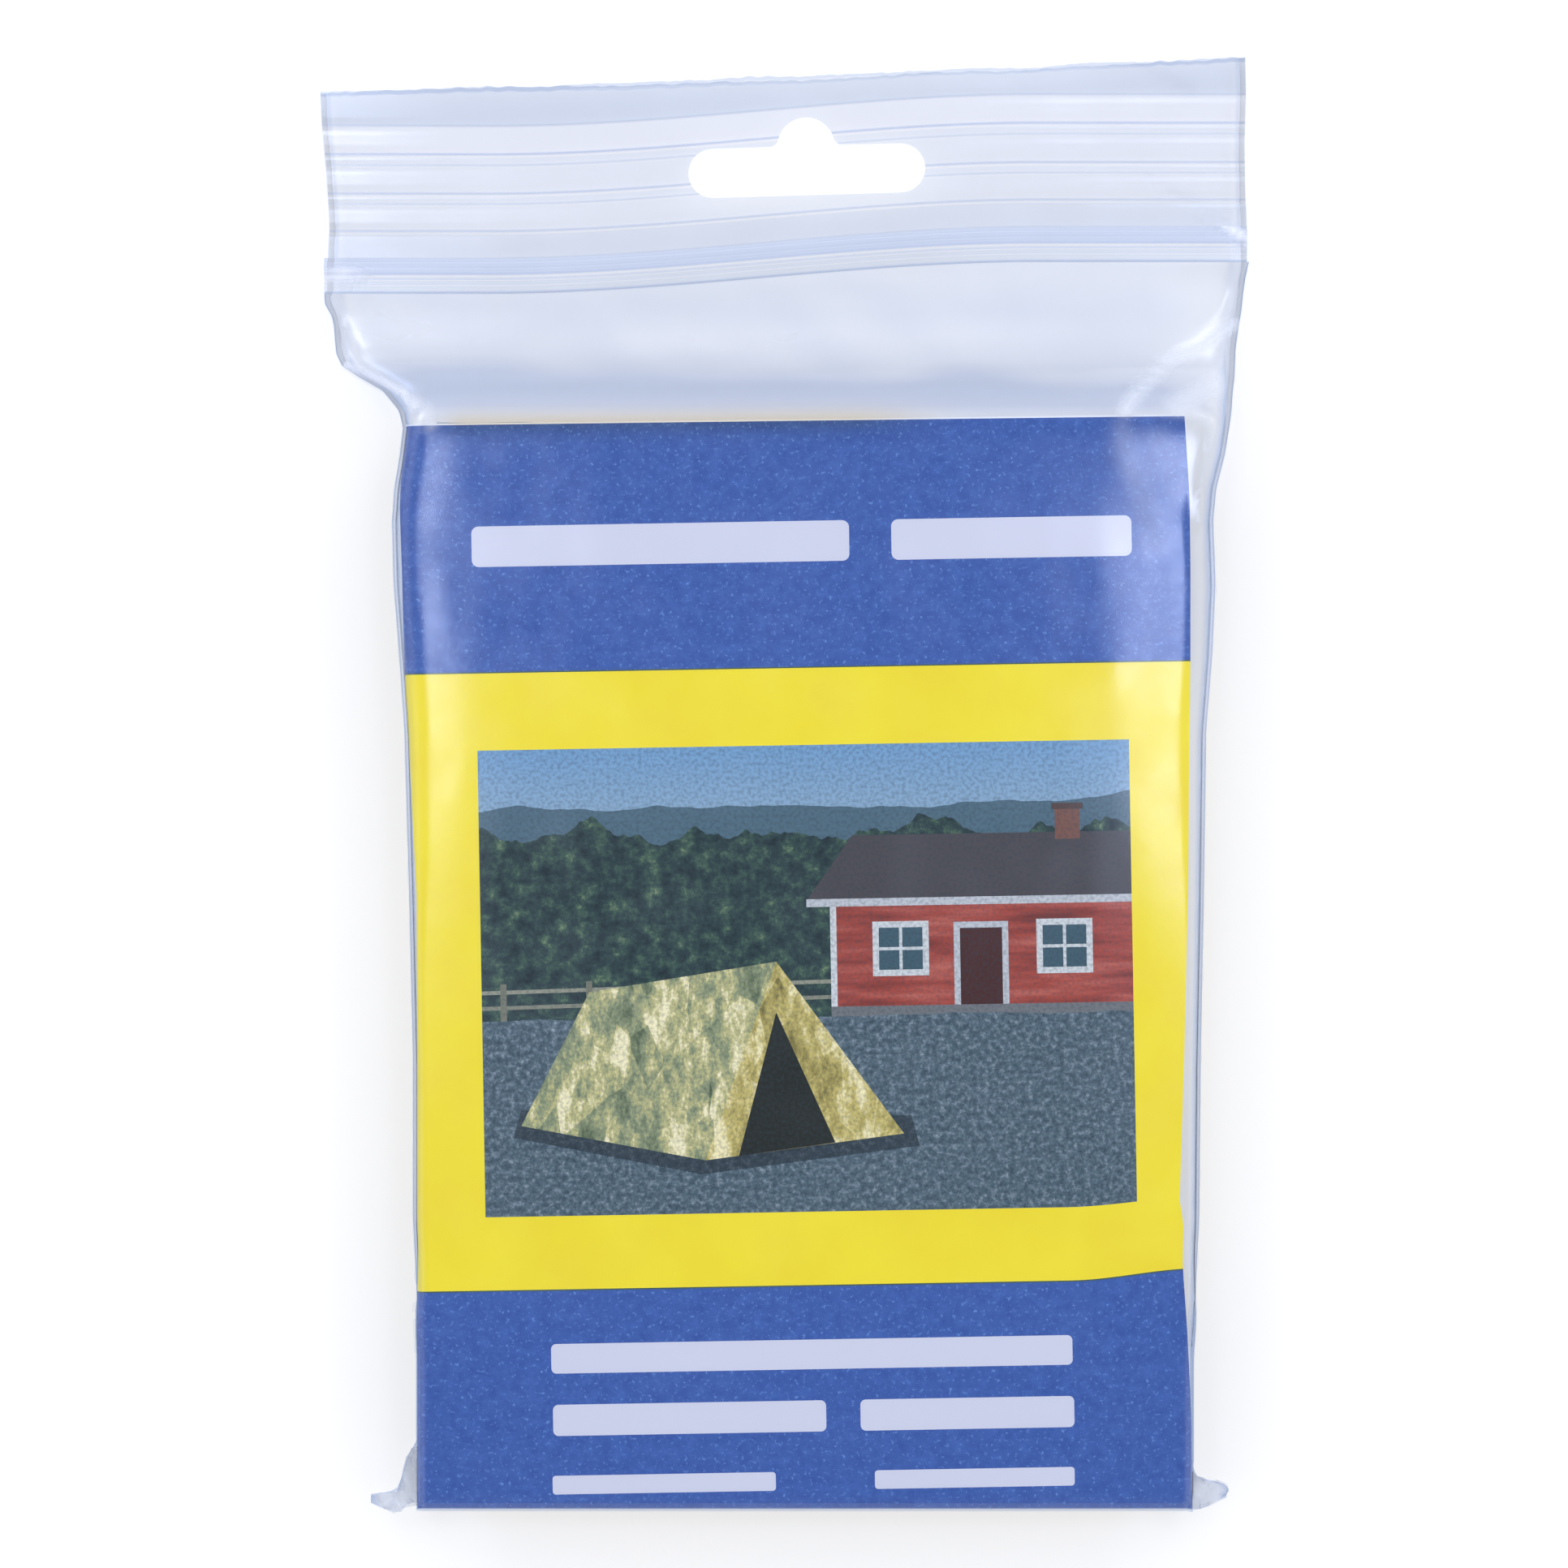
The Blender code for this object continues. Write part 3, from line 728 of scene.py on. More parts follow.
def dress(thing: Object, slot: str, *materials: bpy.types.Material) -> None:
    """Give a piece its materials and let it ride on the pack's body.

    Args:
        thing: The piece, which is shaded smooth with its sharp edges kept.
        slot: Not used.
        materials: Materials that it hasn't got yet.
    """
    for material in materials:
        thing.data.materials.append(material)
    make_active(thing)
    bpy.ops.object.shade_smooth_by_angle(angle=SMOOTH_ANGLE)
    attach(thing, BODY)
    LOG.info("%s: %d faces", thing.name, len(thing.data.polygons))


# ---------------------------------------------------------------- finishes of the bag and the foil


@dataclass(frozen=True)
class ClearFilm:
    """Blown low-density polyethylene film: clear and glossy, with a faint blue cast.

    Each face lets nearly all light through and mirrors a few percent of it, more where it is seen at a
    slant. That gives bright soft streaks on the curves and greyish-blue lines where the film turns away. The
    tints are those of white paper seen through the whole bag, whose light crosses eight faces on its way.
    Crushed and melted film scatters light instead and turns milk-white. Besides that, point attributes paint
    light and shade by place: painted shade pulls the tint towards the slant tint, soft strokes and patches of
    painted highlight turn the film white, and a painted gold sheen stands in for the foil seen through it.
    """

    name: str
    tint: str = "EBF0FA"
    slant_tint: str = "8AA2D4"
    foil_sheen_tint: str = "D6C29C"
    mirror_colour: str = "F4F7FF"
    head_on: float = 0.03
    at_a_slant: float = 0.08
    slant_power: float = 1.7
    milky_share: float = 0.8
    milky_full: float = 0.25
    mirror_share: tuple[float, float] = (0.9, 0.2)
    roughness: float = 0.16
    blotch_mm: float = 9.0
    grain_mm: float = 0.6
    faces_crossed: int = 8

    def head_on_tint(self, add: Adder) -> object:
        """Tint where the film is seen head-on."""
        return linear(self.tint)

    def material(self) -> bpy.types.Material:
        """Build the node material.

        Returns:
            The material.
        """
        material, tree, add = new_material(self.name)
        place = add("TexCoord", output="Object")
        slant = add("LayerWeight", {"Blend": 0.5}, "Facing")
        facing = add("Math", {0: slant, 1: self.slant_power}, operation="POWER")
        # Point attributes that carry painted light and shade: painted shade, a painted gold sheen of the foil
        # below, and milk-white whitening that also carries painted highlights.
        grey, warm, milky = (
            add("Attribute", output="Fac", attribute_name=name) for name in ("grey", "warm", "milky")
        )
        slant_and_painted_shade = add("Math", {0: facing, 1: grey}, operation="ADD", use_clamp=True)
        tint = self.head_on_tint(add)
        # The painted shade pulls the tint towards the slant tint, and the painted foil sheen pulls it towards
        # gold.
        for share, colour in ((slant_and_painted_shade, self.slant_tint), (warm, self.foil_sheen_tint)):
            tint = add("Mix", {0: share, 6: tint, 7: linear(colour)}, 2, data_type="RGBA")
        per_face = add("Gamma", {0: tint, 1: 1.0 / self.faces_crossed})
        clear = add("BsdfTransparent", {"Color": per_face})
        # Blotches a few millimetres wide, where the film is a little duller from handling.
        blotch = add("TexNoise", {"Vector": place, "Scale": 1.0 / (self.blotch_mm * MM), "Detail": 3.0})
        duller = {0: blotch, 1: 0.35, 2: 0.7, 3: self.roughness - 0.03, 4: self.roughness + 0.06}
        rough = add("Math", {0: add("MapRange", duller), 1: milky}, operation="ADD", use_clamp=True)
        # Fine grain of blown film, drawn at 0.6 mm where the real one is finer.
        grain = add("TexNoise", {"Vector": place, "Scale": 1.0 / (self.grain_mm * MM), "Detail": 2.0})
        bump = add("Bump", {"Strength": 0.25, "Distance": 0.02 * MM, "Height": grain})
        # Milk-white film is rougher, less mirror-like and whiter: real whitening at the closure's crushed
        # ends, painted highlights wherever else the attribute is set.
        mirror_high, mirror_low = self.mirror_share
        mirror = add("MapRange", {0: milky, 1: 0.0, 2: self.milky_full, 3: mirror_high, 4: mirror_low})
        gloss = tree.nodes["Principled BSDF"]
        mirror_tint = linear(self.mirror_colour)
        feed(gloss, {"Base Color": mirror_tint, "Metallic": mirror, "Roughness": rough, "Normal": bump})
        share = add("MapRange", {0: facing, 3: self.head_on, 4: self.at_a_slant})
        shares = {0: milky, 1: self.milky_share, 2: share}
        share = add("Math", shares, operation="MULTIPLY_ADD", use_clamp=True)
        both = add("MixShader", {0: share, 1: clear, 2: gloss.outputs[0]})
        feed(tree.nodes["Material Output"], {"Surface": both})
        return material


class Band(NamedTuple):
    """Band of an extruded film: where it starts above the closure's top, its tint, and the painted dark line,
    its width and the painted glint at its edge.
    """

    start: float
    tint: str
    line: str
    line_width: float = 0.2
    glint: str = "FAFBFF"


@dataclass(frozen=True)
class BandedFilm(ClearFilm):
    """Film extruded with thicker and thinner bands that run beside the closure.

    The thicker bands look bluer and the thinner ones clearer. At each change a fine painted dark line stands
    in for the shade of the band's edge, beside a painted glint.
    """

    bands: tuple[Band, ...] = rows_of(
        Band, (0.0, "D8E1F3", "D8E1F3"), (3.45, "E6EBF8", "ACBEE4"),
        (6.95, "E1E8F6", "BCCAE8", 0.15, "EFF3FC"), (8.3, "E6EBF8", "A8BAE2"),
        (11.97, "E1E8F6", "BCCAE8", 0.15, "EFF3FC"), (13.4, "EDF0FC", "98AEE0"),
        (17.1, "C8D3E9", "AEBCDC", 0.18, "EDF0FC"), (21.2, "9AABD2", "A6B6DA", 0.08, "C8D3E9"),
    )
    top: float = 25.0

    def head_on_tint(self, add: Adder) -> object:
        """Tint by the band above the closure.

        Args:
            add: Adds a node to the material's tree.

        Returns:
            The tint where the film is seen head-on.
        """
        above = add("SeparateXYZ", {0: add("UVMap", uv_map="flat")}, 1)
        lowest = self.bands[0].start
        share = add("MapRange", {0: above, 1: lowest, 2: self.top})
        stops = [(0.0, self.bands[0].tint)]
        for before, band in zip(self.bands, self.bands[1:]):
            for widths, tint in ((-2.6, before.tint), (-1.4, band.glint), (0.0, band.line), (1.2, band.tint)):
                at = band.start + widths * band.line_width
                stops.append(((at - lowest) / (self.top - lowest), tint))
        return add("ValToRGB", {0: share}, stops=stops)


@dataclass(frozen=True)
class MetallisedFilm:
    """Vacuum-metallised polyester, 12 micrometres thick: a mirror broken up by sharp little creases."""

    name: str
    colour: str
    shade: str
    roughness: float = 0.38
    crease_mm: float = 5.0
    crinkle_mm: float = 1.4
    depth_mm: float = 0.25

    def material(self) -> bpy.types.Material:
        """Build the node material.

        Returns:
            The material.
        """
        material, tree, add = new_material(self.name)
        place = add("TexCoord", output="Object")
        creases = {"Vector": place, "Scale": 1.0 / (self.crease_mm * MM)}
        facets = add("TexVoronoi", creases, "Distance", feature="F1")
        crinkle = add("TexNoise", {"Vector": place, "Scale": 1.0 / (self.crinkle_mm * MM), "Detail": 4.0})
        height = add("Math", {0: facets, 1: crinkle}, operation="ADD")
        bump = add("Bump", {"Strength": 0.5, "Distance": self.depth_mm * MM, "Height": height})
        tones = {0: crinkle, 6: linear(self.colour), 7: linear(self.shade)}
        looks = {"Metallic": 1.0, "Roughness": self.roughness, "Normal": bump}
        looks["Base Color"] = add("Mix", tones, 2, data_type="RGBA")
        feed(tree.nodes["Principled BSDF"], looks)
        return material


# ---------------------------------------------------------------- print of the card


def box(left: float, low: float, right: float, high: float) -> tuple[Point, ...]:
    """Corners of an upright rectangle, anticlockwise."""
    return (left, low), (right, low), (right, high), (left, high)


def inside(add: Adder, spot: Socket, outline: Sequence[Point]) -> Socket:
    """Mask of a convex outline.

    Args:
        add: Adds a node to the material's tree.
        spot: Place on the print.
        outline: Its corners, anticlockwise.

    Returns:
        1 inside the outline and 0 outside it.
    """
    mask: object = 1.0
    for (x0, y0), (x1, y1) in zip(outline, (*outline[1:], outline[0])):
        normal = (y1 - y0, x0 - x1, 0.0)
        along = add("VectorMath", {0: spot, 1: normal}, "Value", operation="DOT_PRODUCT")
        within = add("Math", {0: along, 1: normal[0] * x0 + normal[1] * y0}, operation="LESS_THAN")
        mask = add("Math", {0: mask, 1: within}, operation="MULTIPLY")
    return mask


def laid_over(add: Adder, ground: object, layers: Iterable[tuple[Socket, object]]) -> Socket:
    """Print inks one over another.

    Args:
        add: Adds a node to the material's tree.
        ground: Colour of what they are printed on.
        layers: Mask and colour of each ink, from the first one printed to the last.

    Returns:
        The colour that is seen.
    """
    for mask, ink in layers:
        ground = add("Mix", {0: mask, 6: ground, 7: ink}, 2, data_type="RGBA")
    return ground


class Mottle(NamedTuple):
    """Uneven ink: how wide its patches are, how finely they break up, and its colours."""

    width: float
    detail: float
    stops: Ramp
    rough: float = 0.5

    def inputs(self, spot: Socket) -> Inputs:
        """Inputs of a noise texture with such patches."""
        return {"Vector": spot, "Scale": 1.0 / self.width, "Detail": self.detail, "Roughness": self.rough}

    def colour(self, add: Adder, spot: Socket) -> Socket:
        """Colour of the ink at a spot."""
        return add("ValToRGB", {0: add("TexNoise", self.inputs(spot))}, stops=self.stops)


class Bar(NamedTuple):
    """Plain bar of the print with rounded corners, in the card's own millimetres."""

    x: float
    y: float
    half_width: float
    half_height: float

    def mask(self, add: Adder, spot: Socket) -> Socket:
        """Mask of the bar.

        Args:
            add: Adds a node to the material's tree.
            spot: Place on the print.

        Returns:
            1 inside the bar and 0 outside it.
        """
        corner = self.half_height * 0.35
        for operation, value in (
            ("SUBTRACT", (self.x, self.y, 0.0)),
            ("ABSOLUTE", (0.0, 0.0, 0.0)),
            ("SUBTRACT", (self.half_width - corner, self.half_height - corner, 0.0)),
            ("MAXIMUM", (0.0, 0.0, 0.0)),
        ):
            spot = add("VectorMath", {0: spot, 1: value}, operation=operation)
        length = add("VectorMath", {0: spot}, "Value", operation="LENGTH")
        return add("Math", {0: length, 1: corner}, operation="LESS_THAN")


class Patch(NamedTuple):
    """Flat patch of the printed picture: a convex outline, anticlockwise, and its ink."""

    outline: tuple[Point, ...]
    ink: str


class Skyline(NamedTuple):
    """Uneven skyline of the picture: its height, its rise and fall, and how wide its bumps are."""

    height: float
    swing: float
    width: float

    def mask(self, add: Adder, spot: Socket) -> Socket:
        """Mask of what stands below the skyline.

        Args:
            add: Adds a node to the material's tree.
            spot: Place on the print.

        Returns:
            1 below the skyline and 0 above it.
        """
        level = add("VectorMath", {0: spot, 1: (1.0, 0.0, 0.0)}, operation="MULTIPLY")
        bumps = add("TexNoise", Mottle(self.width, 4.0, ()).inputs(level))
        heights = {0: bumps, 1: self.swing, 2: self.height - self.swing / 2}
        line = add("Math", heights, operation="MULTIPLY_ADD")
        return add("Math", {0: add("SeparateXYZ", {0: spot}, 1), 1: line}, operation="LESS_THAN")


@dataclass(frozen=True)
class PanelPicture:
    """Colour print of a foil shelter pitched on gravel, with a red cabin, a wood and hills behind it."""

    sky: Ramp = ((0.0, "A5BBC6"), (1.0, "7AA6CC"))
    sky_low: float = 12.0
    sky_high: float = 28.0
    hills: str = "53707F"
    hill_line: Skyline = Skyline(20.5, 8.0, 30.0)
    wood: Mottle = Mottle(
        2.2, 6.0, ((0.36, "12262B"), (0.5, "2A4341"), (0.6, "466351"), (0.72, "869C72")), 0.72
    )
    wood_line: Skyline = Skyline(17.0, 15.0, 11.0)
    gravel: Mottle = Mottle(
        0.8, 4.0, ((0.3, "33454F"), (0.5, "566B76"), (0.62, "7F9099"), (0.75, "B4BFC2")), 0.75
    )
    gravel_line: Skyline = Skyline(-6.6, 1.4, 14.0)
    cabin: tuple[Point, ...] = box(4.0, -7.0, 43.0, 9.0)
    boards: Mottle = Mottle(1.6, 3.0, ((0.3, "7C332B"), (0.5, "AC4B3D"), (0.7, "C4695A")))
    board_stretch: float = 0.12
    trim: str = "D9DEDD"
    cabin_parts: tuple[Patch, ...] = (
        Patch(((1.0, 8.2), (44.0, 8.2), (44.0, 16.5), (7.0, 16.5)), "4E4B4E"),
        Patch(box(1.0, 7.4, 44.0, 8.4), "C9CDD0"),
        Patch(box(19.8, -7.0, 26.8, 5.2), "C9CDD0"),
        Patch(box(20.6, -7.0, 26.0, 4.4), "4A2420"),
        Patch(box(4.0, -7.0, 4.8, 7.4), "D9DEDD"),
        Patch(box(4.0, -7.0, 43.0, -5.4), "777B7D"),
        Patch(box(33.0, 15.6, 36.2, 19.6), "80574A"),
        Patch(box(32.6, 19.4, 36.6, 20.2), "5A4640"),
        Patch(((-42.0, -3.2), (4.0, -2.4), (4.0, -1.9), (-42.0, -2.7)), "9A9C88"),
        Patch(((-42.0, -5.2), (4.0, -4.4), (4.0, -3.9), (-42.0, -4.7)), "8B8D7B"),
    )
    windows: tuple[float, ...] = (9.4, 30.4)
    window_size: Point = (7.2, 7.0)
    window_low: float = -1.6
    window_frame: float = 0.8
    bar_half: float = 0.2
    bar_y: float = 1.9
    pane: str = "42606C"
    ground: float = -7.0
    posts: tuple[Point, ...] = ((-38.0, -1.8), (-27.0, -1.6), (-16.0, -1.4), (-5.0, -1.2))
    post_half: float = 0.4
    post_ink: str = "7C7E6C"
    shade: tuple[Point, ...] = ((-37.0, -21.5), (-13.0, -26.6), (15.0, -23.4), (14.0, -19.5), (-36.0, -18.0))
    slope: tuple[Point, ...] = ((-36.0, -20.0), (-12.5, -24.8), (-3.0, 0.5), (-27.0, -3.0))
    front: tuple[Point, ...] = ((-12.5, -24.8), (13.0, -21.8), (-3.0, 0.5))
    opening: tuple[Point, ...] = ((-8.2, -24.3), (4.2, -22.8), (-3.1, -6.0))
    slope_foil: Ramp = ((0.1, "39452F"), (0.35, "6C7A5A"), (0.6, "98A27C"), (0.8, "CFC98A"), (0.95, "FFF6C8"))
    front_foil: Ramp = ((0.1, "5C552A"), (0.4, "9C8F4C"), (0.7, "D2C272"), (0.95, "FFF3BE"))
    facet_mm: float = 3.4
    folds: Mottle = Mottle(4.0, 6.0, (), 0.75)
    raster: Mottle = Mottle(0.45, 1.0, ())

    def patches(self) -> list[Patch]:
        """Cut the outlines of the cabin and the fence.

        Returns:
            The patches, in the order in which they are printed.
        """
        patches = list(self.cabin_parts)
        width, height = self.window_size
        low, edge, bar = self.window_low, self.window_frame, self.bar_half
        for left in self.windows:
            right, high, middle = left + width, low + height, left + width / 2
            patches.append(Patch(box(left, low, right, high), self.trim))
            patches.append(Patch(box(left + edge, low + edge, right - edge, high - edge), self.pane))
            patches.append(Patch(box(middle - bar, low + edge, middle + bar, high - edge), self.trim))
            across = box(left + edge, self.bar_y - bar, right - edge, self.bar_y + bar)
            patches.append(Patch(across, self.trim))
        half = self.post_half
        for x, top in self.posts:
            patches.append(Patch(box(x - half, self.ground, x + half, top), self.post_ink))
        return patches

    def foil(self, add: Adder, spot: Socket, stops: Ramp) -> Socket:
        """Colours of crinkled foil: a patchwork of facets, each of its own tone.

        Args:
            add: Adds a node to the material's tree.
            spot: Place on the print.
            stops: Colours from the darkest facet to the brightest.

        Returns:
            The foil's colour.
        """
        wrinkled = add("VectorMath", {0: spot, 1: (1.0, 0.45, 0.0)}, operation="MULTIPLY")
        facets = {"Vector": wrinkled, "Scale": 1.0 / self.facet_mm, "Detail": 1.0}
        tone = add("SeparateXYZ", {0: add("TexVoronoi", facets, "Color")})
        folds = {0: add("TexNoise", self.folds.inputs(wrinkled)), 1: 2.4, 2: -0.75}
        folds = add("Math", folds, operation="MULTIPLY_ADD")
        both = add("Math", {0: tone, 1: 0.3, 2: folds}, operation="MULTIPLY_ADD")
        return add("ValToRGB", {0: both}, stops=stops)

    def colour(self, add: Adder, spot: Socket) -> Socket:
        """Colour of the picture.

        Args:
            add: Adds a node to the material's tree.
            spot: Place on the print.

        Returns:
            The colour at that place.
        """
        up = add("SeparateXYZ", {0: spot}, 1)
        share = add("MapRange", {0: up, 1: self.sky_low, 2: self.sky_high})
        along_boards = add("VectorMath", {0: spot, 1: (self.board_stretch, 1.0, 0.0)}, operation="MULTIPLY")
        dim = add("Math", {0: inside(add, spot, self.shade), 1: 0.7}, operation="MULTIPLY")
        raster = add("MapRange", {0: add("TexNoise", self.raster.inputs(spot)), 1: 0.4, 2: 0.7, 4: 0.35})
        layers = (
            (self.hill_line.mask(add, spot), linear(self.hills)),
            (self.wood_line.mask(add, spot), self.wood.colour(add, spot)),
            (inside(add, spot, self.cabin), self.boards.colour(add, along_boards)),
            *((inside(add, spot, patch.outline), linear(patch.ink)) for patch in self.patches()),
            (self.gravel_line.mask(add, spot), self.gravel.colour(add, spot)),
            (dim, linear("16222A")),
            (inside(add, spot, self.slope), self.foil(add, spot, self.slope_foil)),
            (inside(add, spot, self.front), self.foil(add, spot, self.front_foil)),
            (inside(add, spot, self.opening), linear("20261F")),
            (raster, linear("30404A")),
        )
        return laid_over(add, add("ValToRGB", {0: share}, stops=self.sky), layers)


@dataclass(frozen=True)
class PrintedCard:
    """Offset-printed coated card: two blue bands, a yellow field, plain white bars and a picture panel.

    The blue ink is laid on unevenly, so it has soft clouds and fine pale specks. White paper shows along the
    cut edge at the top.
    """

    name: str = "offset-printed coated card"
    blue: Mottle = Mottle(1.8, 6.0, ((0.3, "36559E"), (0.5, "3F60A9"), (0.7, "4A6EB6")), 0.75)
    specks: Mottle = Mottle(0.55, 2.0, (), 0.7)
    speck_ink: str = "74A0DE"
    yellow: Mottle = Mottle(12.0, 3.0, ((0.3, "FFEB36"), (0.7, "FBE230")))
    white: str = "DADBE8"
    paper: str = "F0F2F6"
    paper_grain: Mottle = Mottle(0.33, 2.0, ())
    overprint: str = "4B6355"
    overprint_half: float = 0.09
    top_line: float = 38.15
    low_line: float = -41.1
    roughness: float = 0.42
    specular: float = 0.3
    ior: float = 1.45
    panel: tuple[Point, ...] = box(-40.8, -31.62, 42.7, 28.18)
    picture: PanelPicture = PanelPicture()
    bars: tuple[Bar, ...] = rows_of(
        Bar, (-16.9, 54.3, 24.2, 2.6), (28.1, 54.3, 15.4, 2.6), (0.7, -49.9, 33.4, 1.9),
        (-15.1, -57.8, 17.5, 2.0), (20.5, -57.8, 13.7, 2.0), (-18.5, -66.1, 14.3, 1.2),
        (21.3, -66.1, 12.8, 1.2),
    )

    def colour(self, add: Adder, spot: Socket) -> Socket:
        """Colour of the print.

        Args:
            add: Adds a node to the material's tree.
            spot: Place on the print.

        Returns:
            The colour at that place.
        """
        specks = add("MapRange", {0: add("TexNoise", self.specks.inputs(spot)), 1: 0.58, 2: 0.75, 4: 0.8})
        bars = ((bar.mask(add, spot), linear(self.white)) for bar in self.bars)
        blue = laid_over(add, self.blue.colour(add, spot), ((specks, linear(self.speck_ink)), *bars))
        picture = (inside(add, spot, self.panel), self.picture.colour(add, spot))
        field = laid_over(add, self.yellow.colour(add, spot), (picture,))
        up = add("SeparateXYZ", {0: spot}, 1)
        above_low = add("Math", {0: up, 1: self.low_line}, operation="GREATER_THAN")
        below_top = add("Math", {0: up, 1: self.top_line}, operation="LESS_THAN")
        # The inks overlap by a hair where the blue meets the yellow.
        near = [{0: up, 1: line, 2: self.overprint_half} for line in (self.top_line, self.low_line)]
        overlaps = ((add("Math", place, operation="COMPARE"), linear(self.overprint)) for place in near)
        in_field = add("Math", {0: above_low, 1: below_top}, operation="MULTIPLY")
        return laid_over(add, blue, ((in_field, field), *overlaps))

    def material(self) -> bpy.types.Material:
        """Build the node material, which reads the card's own flat millimetres.

        Returns:
            The material.
        """
        material, tree, add = new_material(self.name)
        spot = add("UVMap", uv_map="flat")
        trim = add("Attribute", output="Fac", attribute_name="trim")
        printed = (add("Math", {0: trim, 1: 0.5}, operation="GREATER_THAN"), self.colour(add, spot))
        grain = add("TexNoise", self.paper_grain.inputs(spot))
        height = {"Strength": 0.15, "Distance": 0.03 * MM, "Height": grain}
        looks = {"Roughness": self.roughness, "Specular IOR Level": self.specular, "IOR": self.ior}
        looks |= {"Base Color": laid_over(add, linear(self.paper), (printed,)), "Normal": add("Bump", height)}
        feed(tree.nodes["Principled BSDF"], looks)
        return material


# ---------------------------------------------------------------- pieces of the pack


class FilmSide(Enum):
    """The two films of the bag."""

    FRONT = "front"
    BACK = "back"


class Zone(Enum):
    """Parts of a film across the pouch."""

    SEAM = "seam"
    SHOULDER = "shoulder"
    FACE = "face"


class Station(NamedTuple):
    """Column of a pouch film: its side (-1 left, 1 right), its zone and its share of that zone."""

    side: int
    zone: Zone
    share: float


@dataclass
class PouchSkin:
    """One film of the pouch, from the bag's outline over the shoulders to its face.

    The bag was cut from a tube 120 mm wide, and the pouch below the closure is 165 mm long.
    """

    side: FilmSide
    finish: ClearFilm
    flat_width: float = 120.0
    flat_length: float = 165.0
    face_width: float = 96.0
    face_pitch: float = 0.6
    row_pitch: float = 1.2
    # Painted highlights: soft white strokes along the arc and the left fold, over the card's top corners and
    # across the slack film above the card.
    tent_pitch: float = 0.42
    painted_highlights: tuple[Stroke, ...] = (
        Stroke(((58.2, 59.5), (54.0, 56.4), (49.5, 54.4), (45.4, 50.3), (43.8, 48.2)), 0.95, 0.36),
        Stroke(((43.3, 46.0), (43.4, 42.6), (45.4, 38.2), (47.4, 31.0)), 1.7, 0.07),
        Stroke(((47.8, 44.6), (50.2, 38.0)), 2.2, 0.05),
        Stroke(((50.6, 49.0), (53.0, 49.9), (55.6, 51.4)), 1.7, 0.32),
        Stroke(((-56.5, 54.1), (-52.6, 52.2), (-48.8, 50.2), (-47.6, 48.4)), 0.42, 0.75),
        Stroke(((-47.4, 49.6), (-46.0, 48.0), (-45.2, 45.8)), 0.9, 0.2),
        Stroke(((-56.0, 59.6), (-50.0, 59.0), (-40.0, 57.4)), 2.4, 0.1),
        Stroke(((-20.0, 57.0), (10.0, 57.8), (34.0, 58.4)), 2.2, 0.07),
    )
    seam_shares: tuple[float, ...] = (0.0, 0.25, 0.5, 0.75)
    shoulder_shares: tuple[float, ...] = (0.0, 0.02, 0.05, 0.1, 0.17, 0.26, 0.38, 0.52, 0.68, 0.84, 1.0)

    def stations(self) -> list[Station]:
        """Columns from the left outline to the right one.

        Returns:
            The columns.
        """
        left = [Station(-1, Zone.SEAM, share) for share in self.seam_shares]
        left += [Station(-1, Zone.SHOULDER, share) for share in self.shoulder_shares]
        face = [Station(0, Zone.FACE, share) for share in spread(0.0, 1.0, self.face_pitch / self.face_width)]
        return left + face + [station._replace(side=1) for station in reversed(left)]

    def rows(self) -> list[float]:
        """Y of the rows, from the bottom edge to the closure.

        Returns:
            The values of y.
        """
        start, top = FORM.slack_start, FORM.top
        wall = [FORM.bottom_wall + share * FORM.bottom_reach for share in self.shoulder_shares]
        body, tent = spread(wall[-1], start, self.row_pitch), spread(start, top, self.tent_pitch)
        return [FORM.bottom_edge, *wall, *body, start, *tent, top]

    def column_x(self, station: Station, y: float, inset: float) -> float:
        """X of a column.

        Args:
            station: The column.
            y: Place along the pack.
            inset: How far inside the film's outer face.

        Returns:
            Place across the pack.
        """
        section = FORM.section(y)
        out = FORM.outward(y) - inset
        if station.zone is Zone.FACE:
            start = section.wall_left + section.reach_left
            return start + station.share * (section.wall_right - section.reach_right - start)
        if station.side < 0:
            outline, wall, reach = section.left, section.wall_left - out, section.reach_left + out
        else:
            outline, wall, reach = section.right, section.wall_right + out, -section.reach_right - out
        if station.zone is Zone.SEAM:
            return outline + station.share * (wall - outline)
        return wall + station.share * reach

    def point(self, station: Station, y: float, inset: float) -> Vector:
        """Point of the film.

        Args:
            station: Its column.
            y: Its row.
            inset: How far inside the film's outer face.

        Returns:
            The point's place.
        """
        x = self.column_x(station, y, inset)
        height = FORM.front(x, y, inset) if self.side is FilmSide.FRONT else FORM.back(x, y, inset)
        place_y = y
        if y == FORM.bottom_edge:
            place_y = row_at(FORM.bottom_outline, x).y - 0.05
        elif station.zone is not Zone.SEAM:
            place_y -= (FORM.low_reach - inset) * (FORM.top - y) / (FORM.top - FORM.bottom_wall)
        climbed = place_y + FORM.climb_share(y) * FORM.climb(x)
        return Vector((x, climbed, height - FORM.droop(x, place_y)))

    def build(self) -> None:
        """Build the film and dress it."""
        name = f"{self.side.value}_film"
        skin = closed_sheet(f"{name}_skin", self.stations(), self.rows(), self.point, (FORM.film, 0.0))
        # Both films get painted shade and the painted foil sheen as point attributes; only the front film
        # gets the painted highlights.
        marks = self.painted_highlights if self.side is FilmSide.FRONT else ()
        paint(skin, "milky", lambda x, y: sum(mark.at(x, y) for mark in marks))
        paint(skin, "grey", FORM.grey)
        paint(skin, "warm", FORM.warm)
        dress(skin, "film", self.finish.material())
        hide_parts(name)


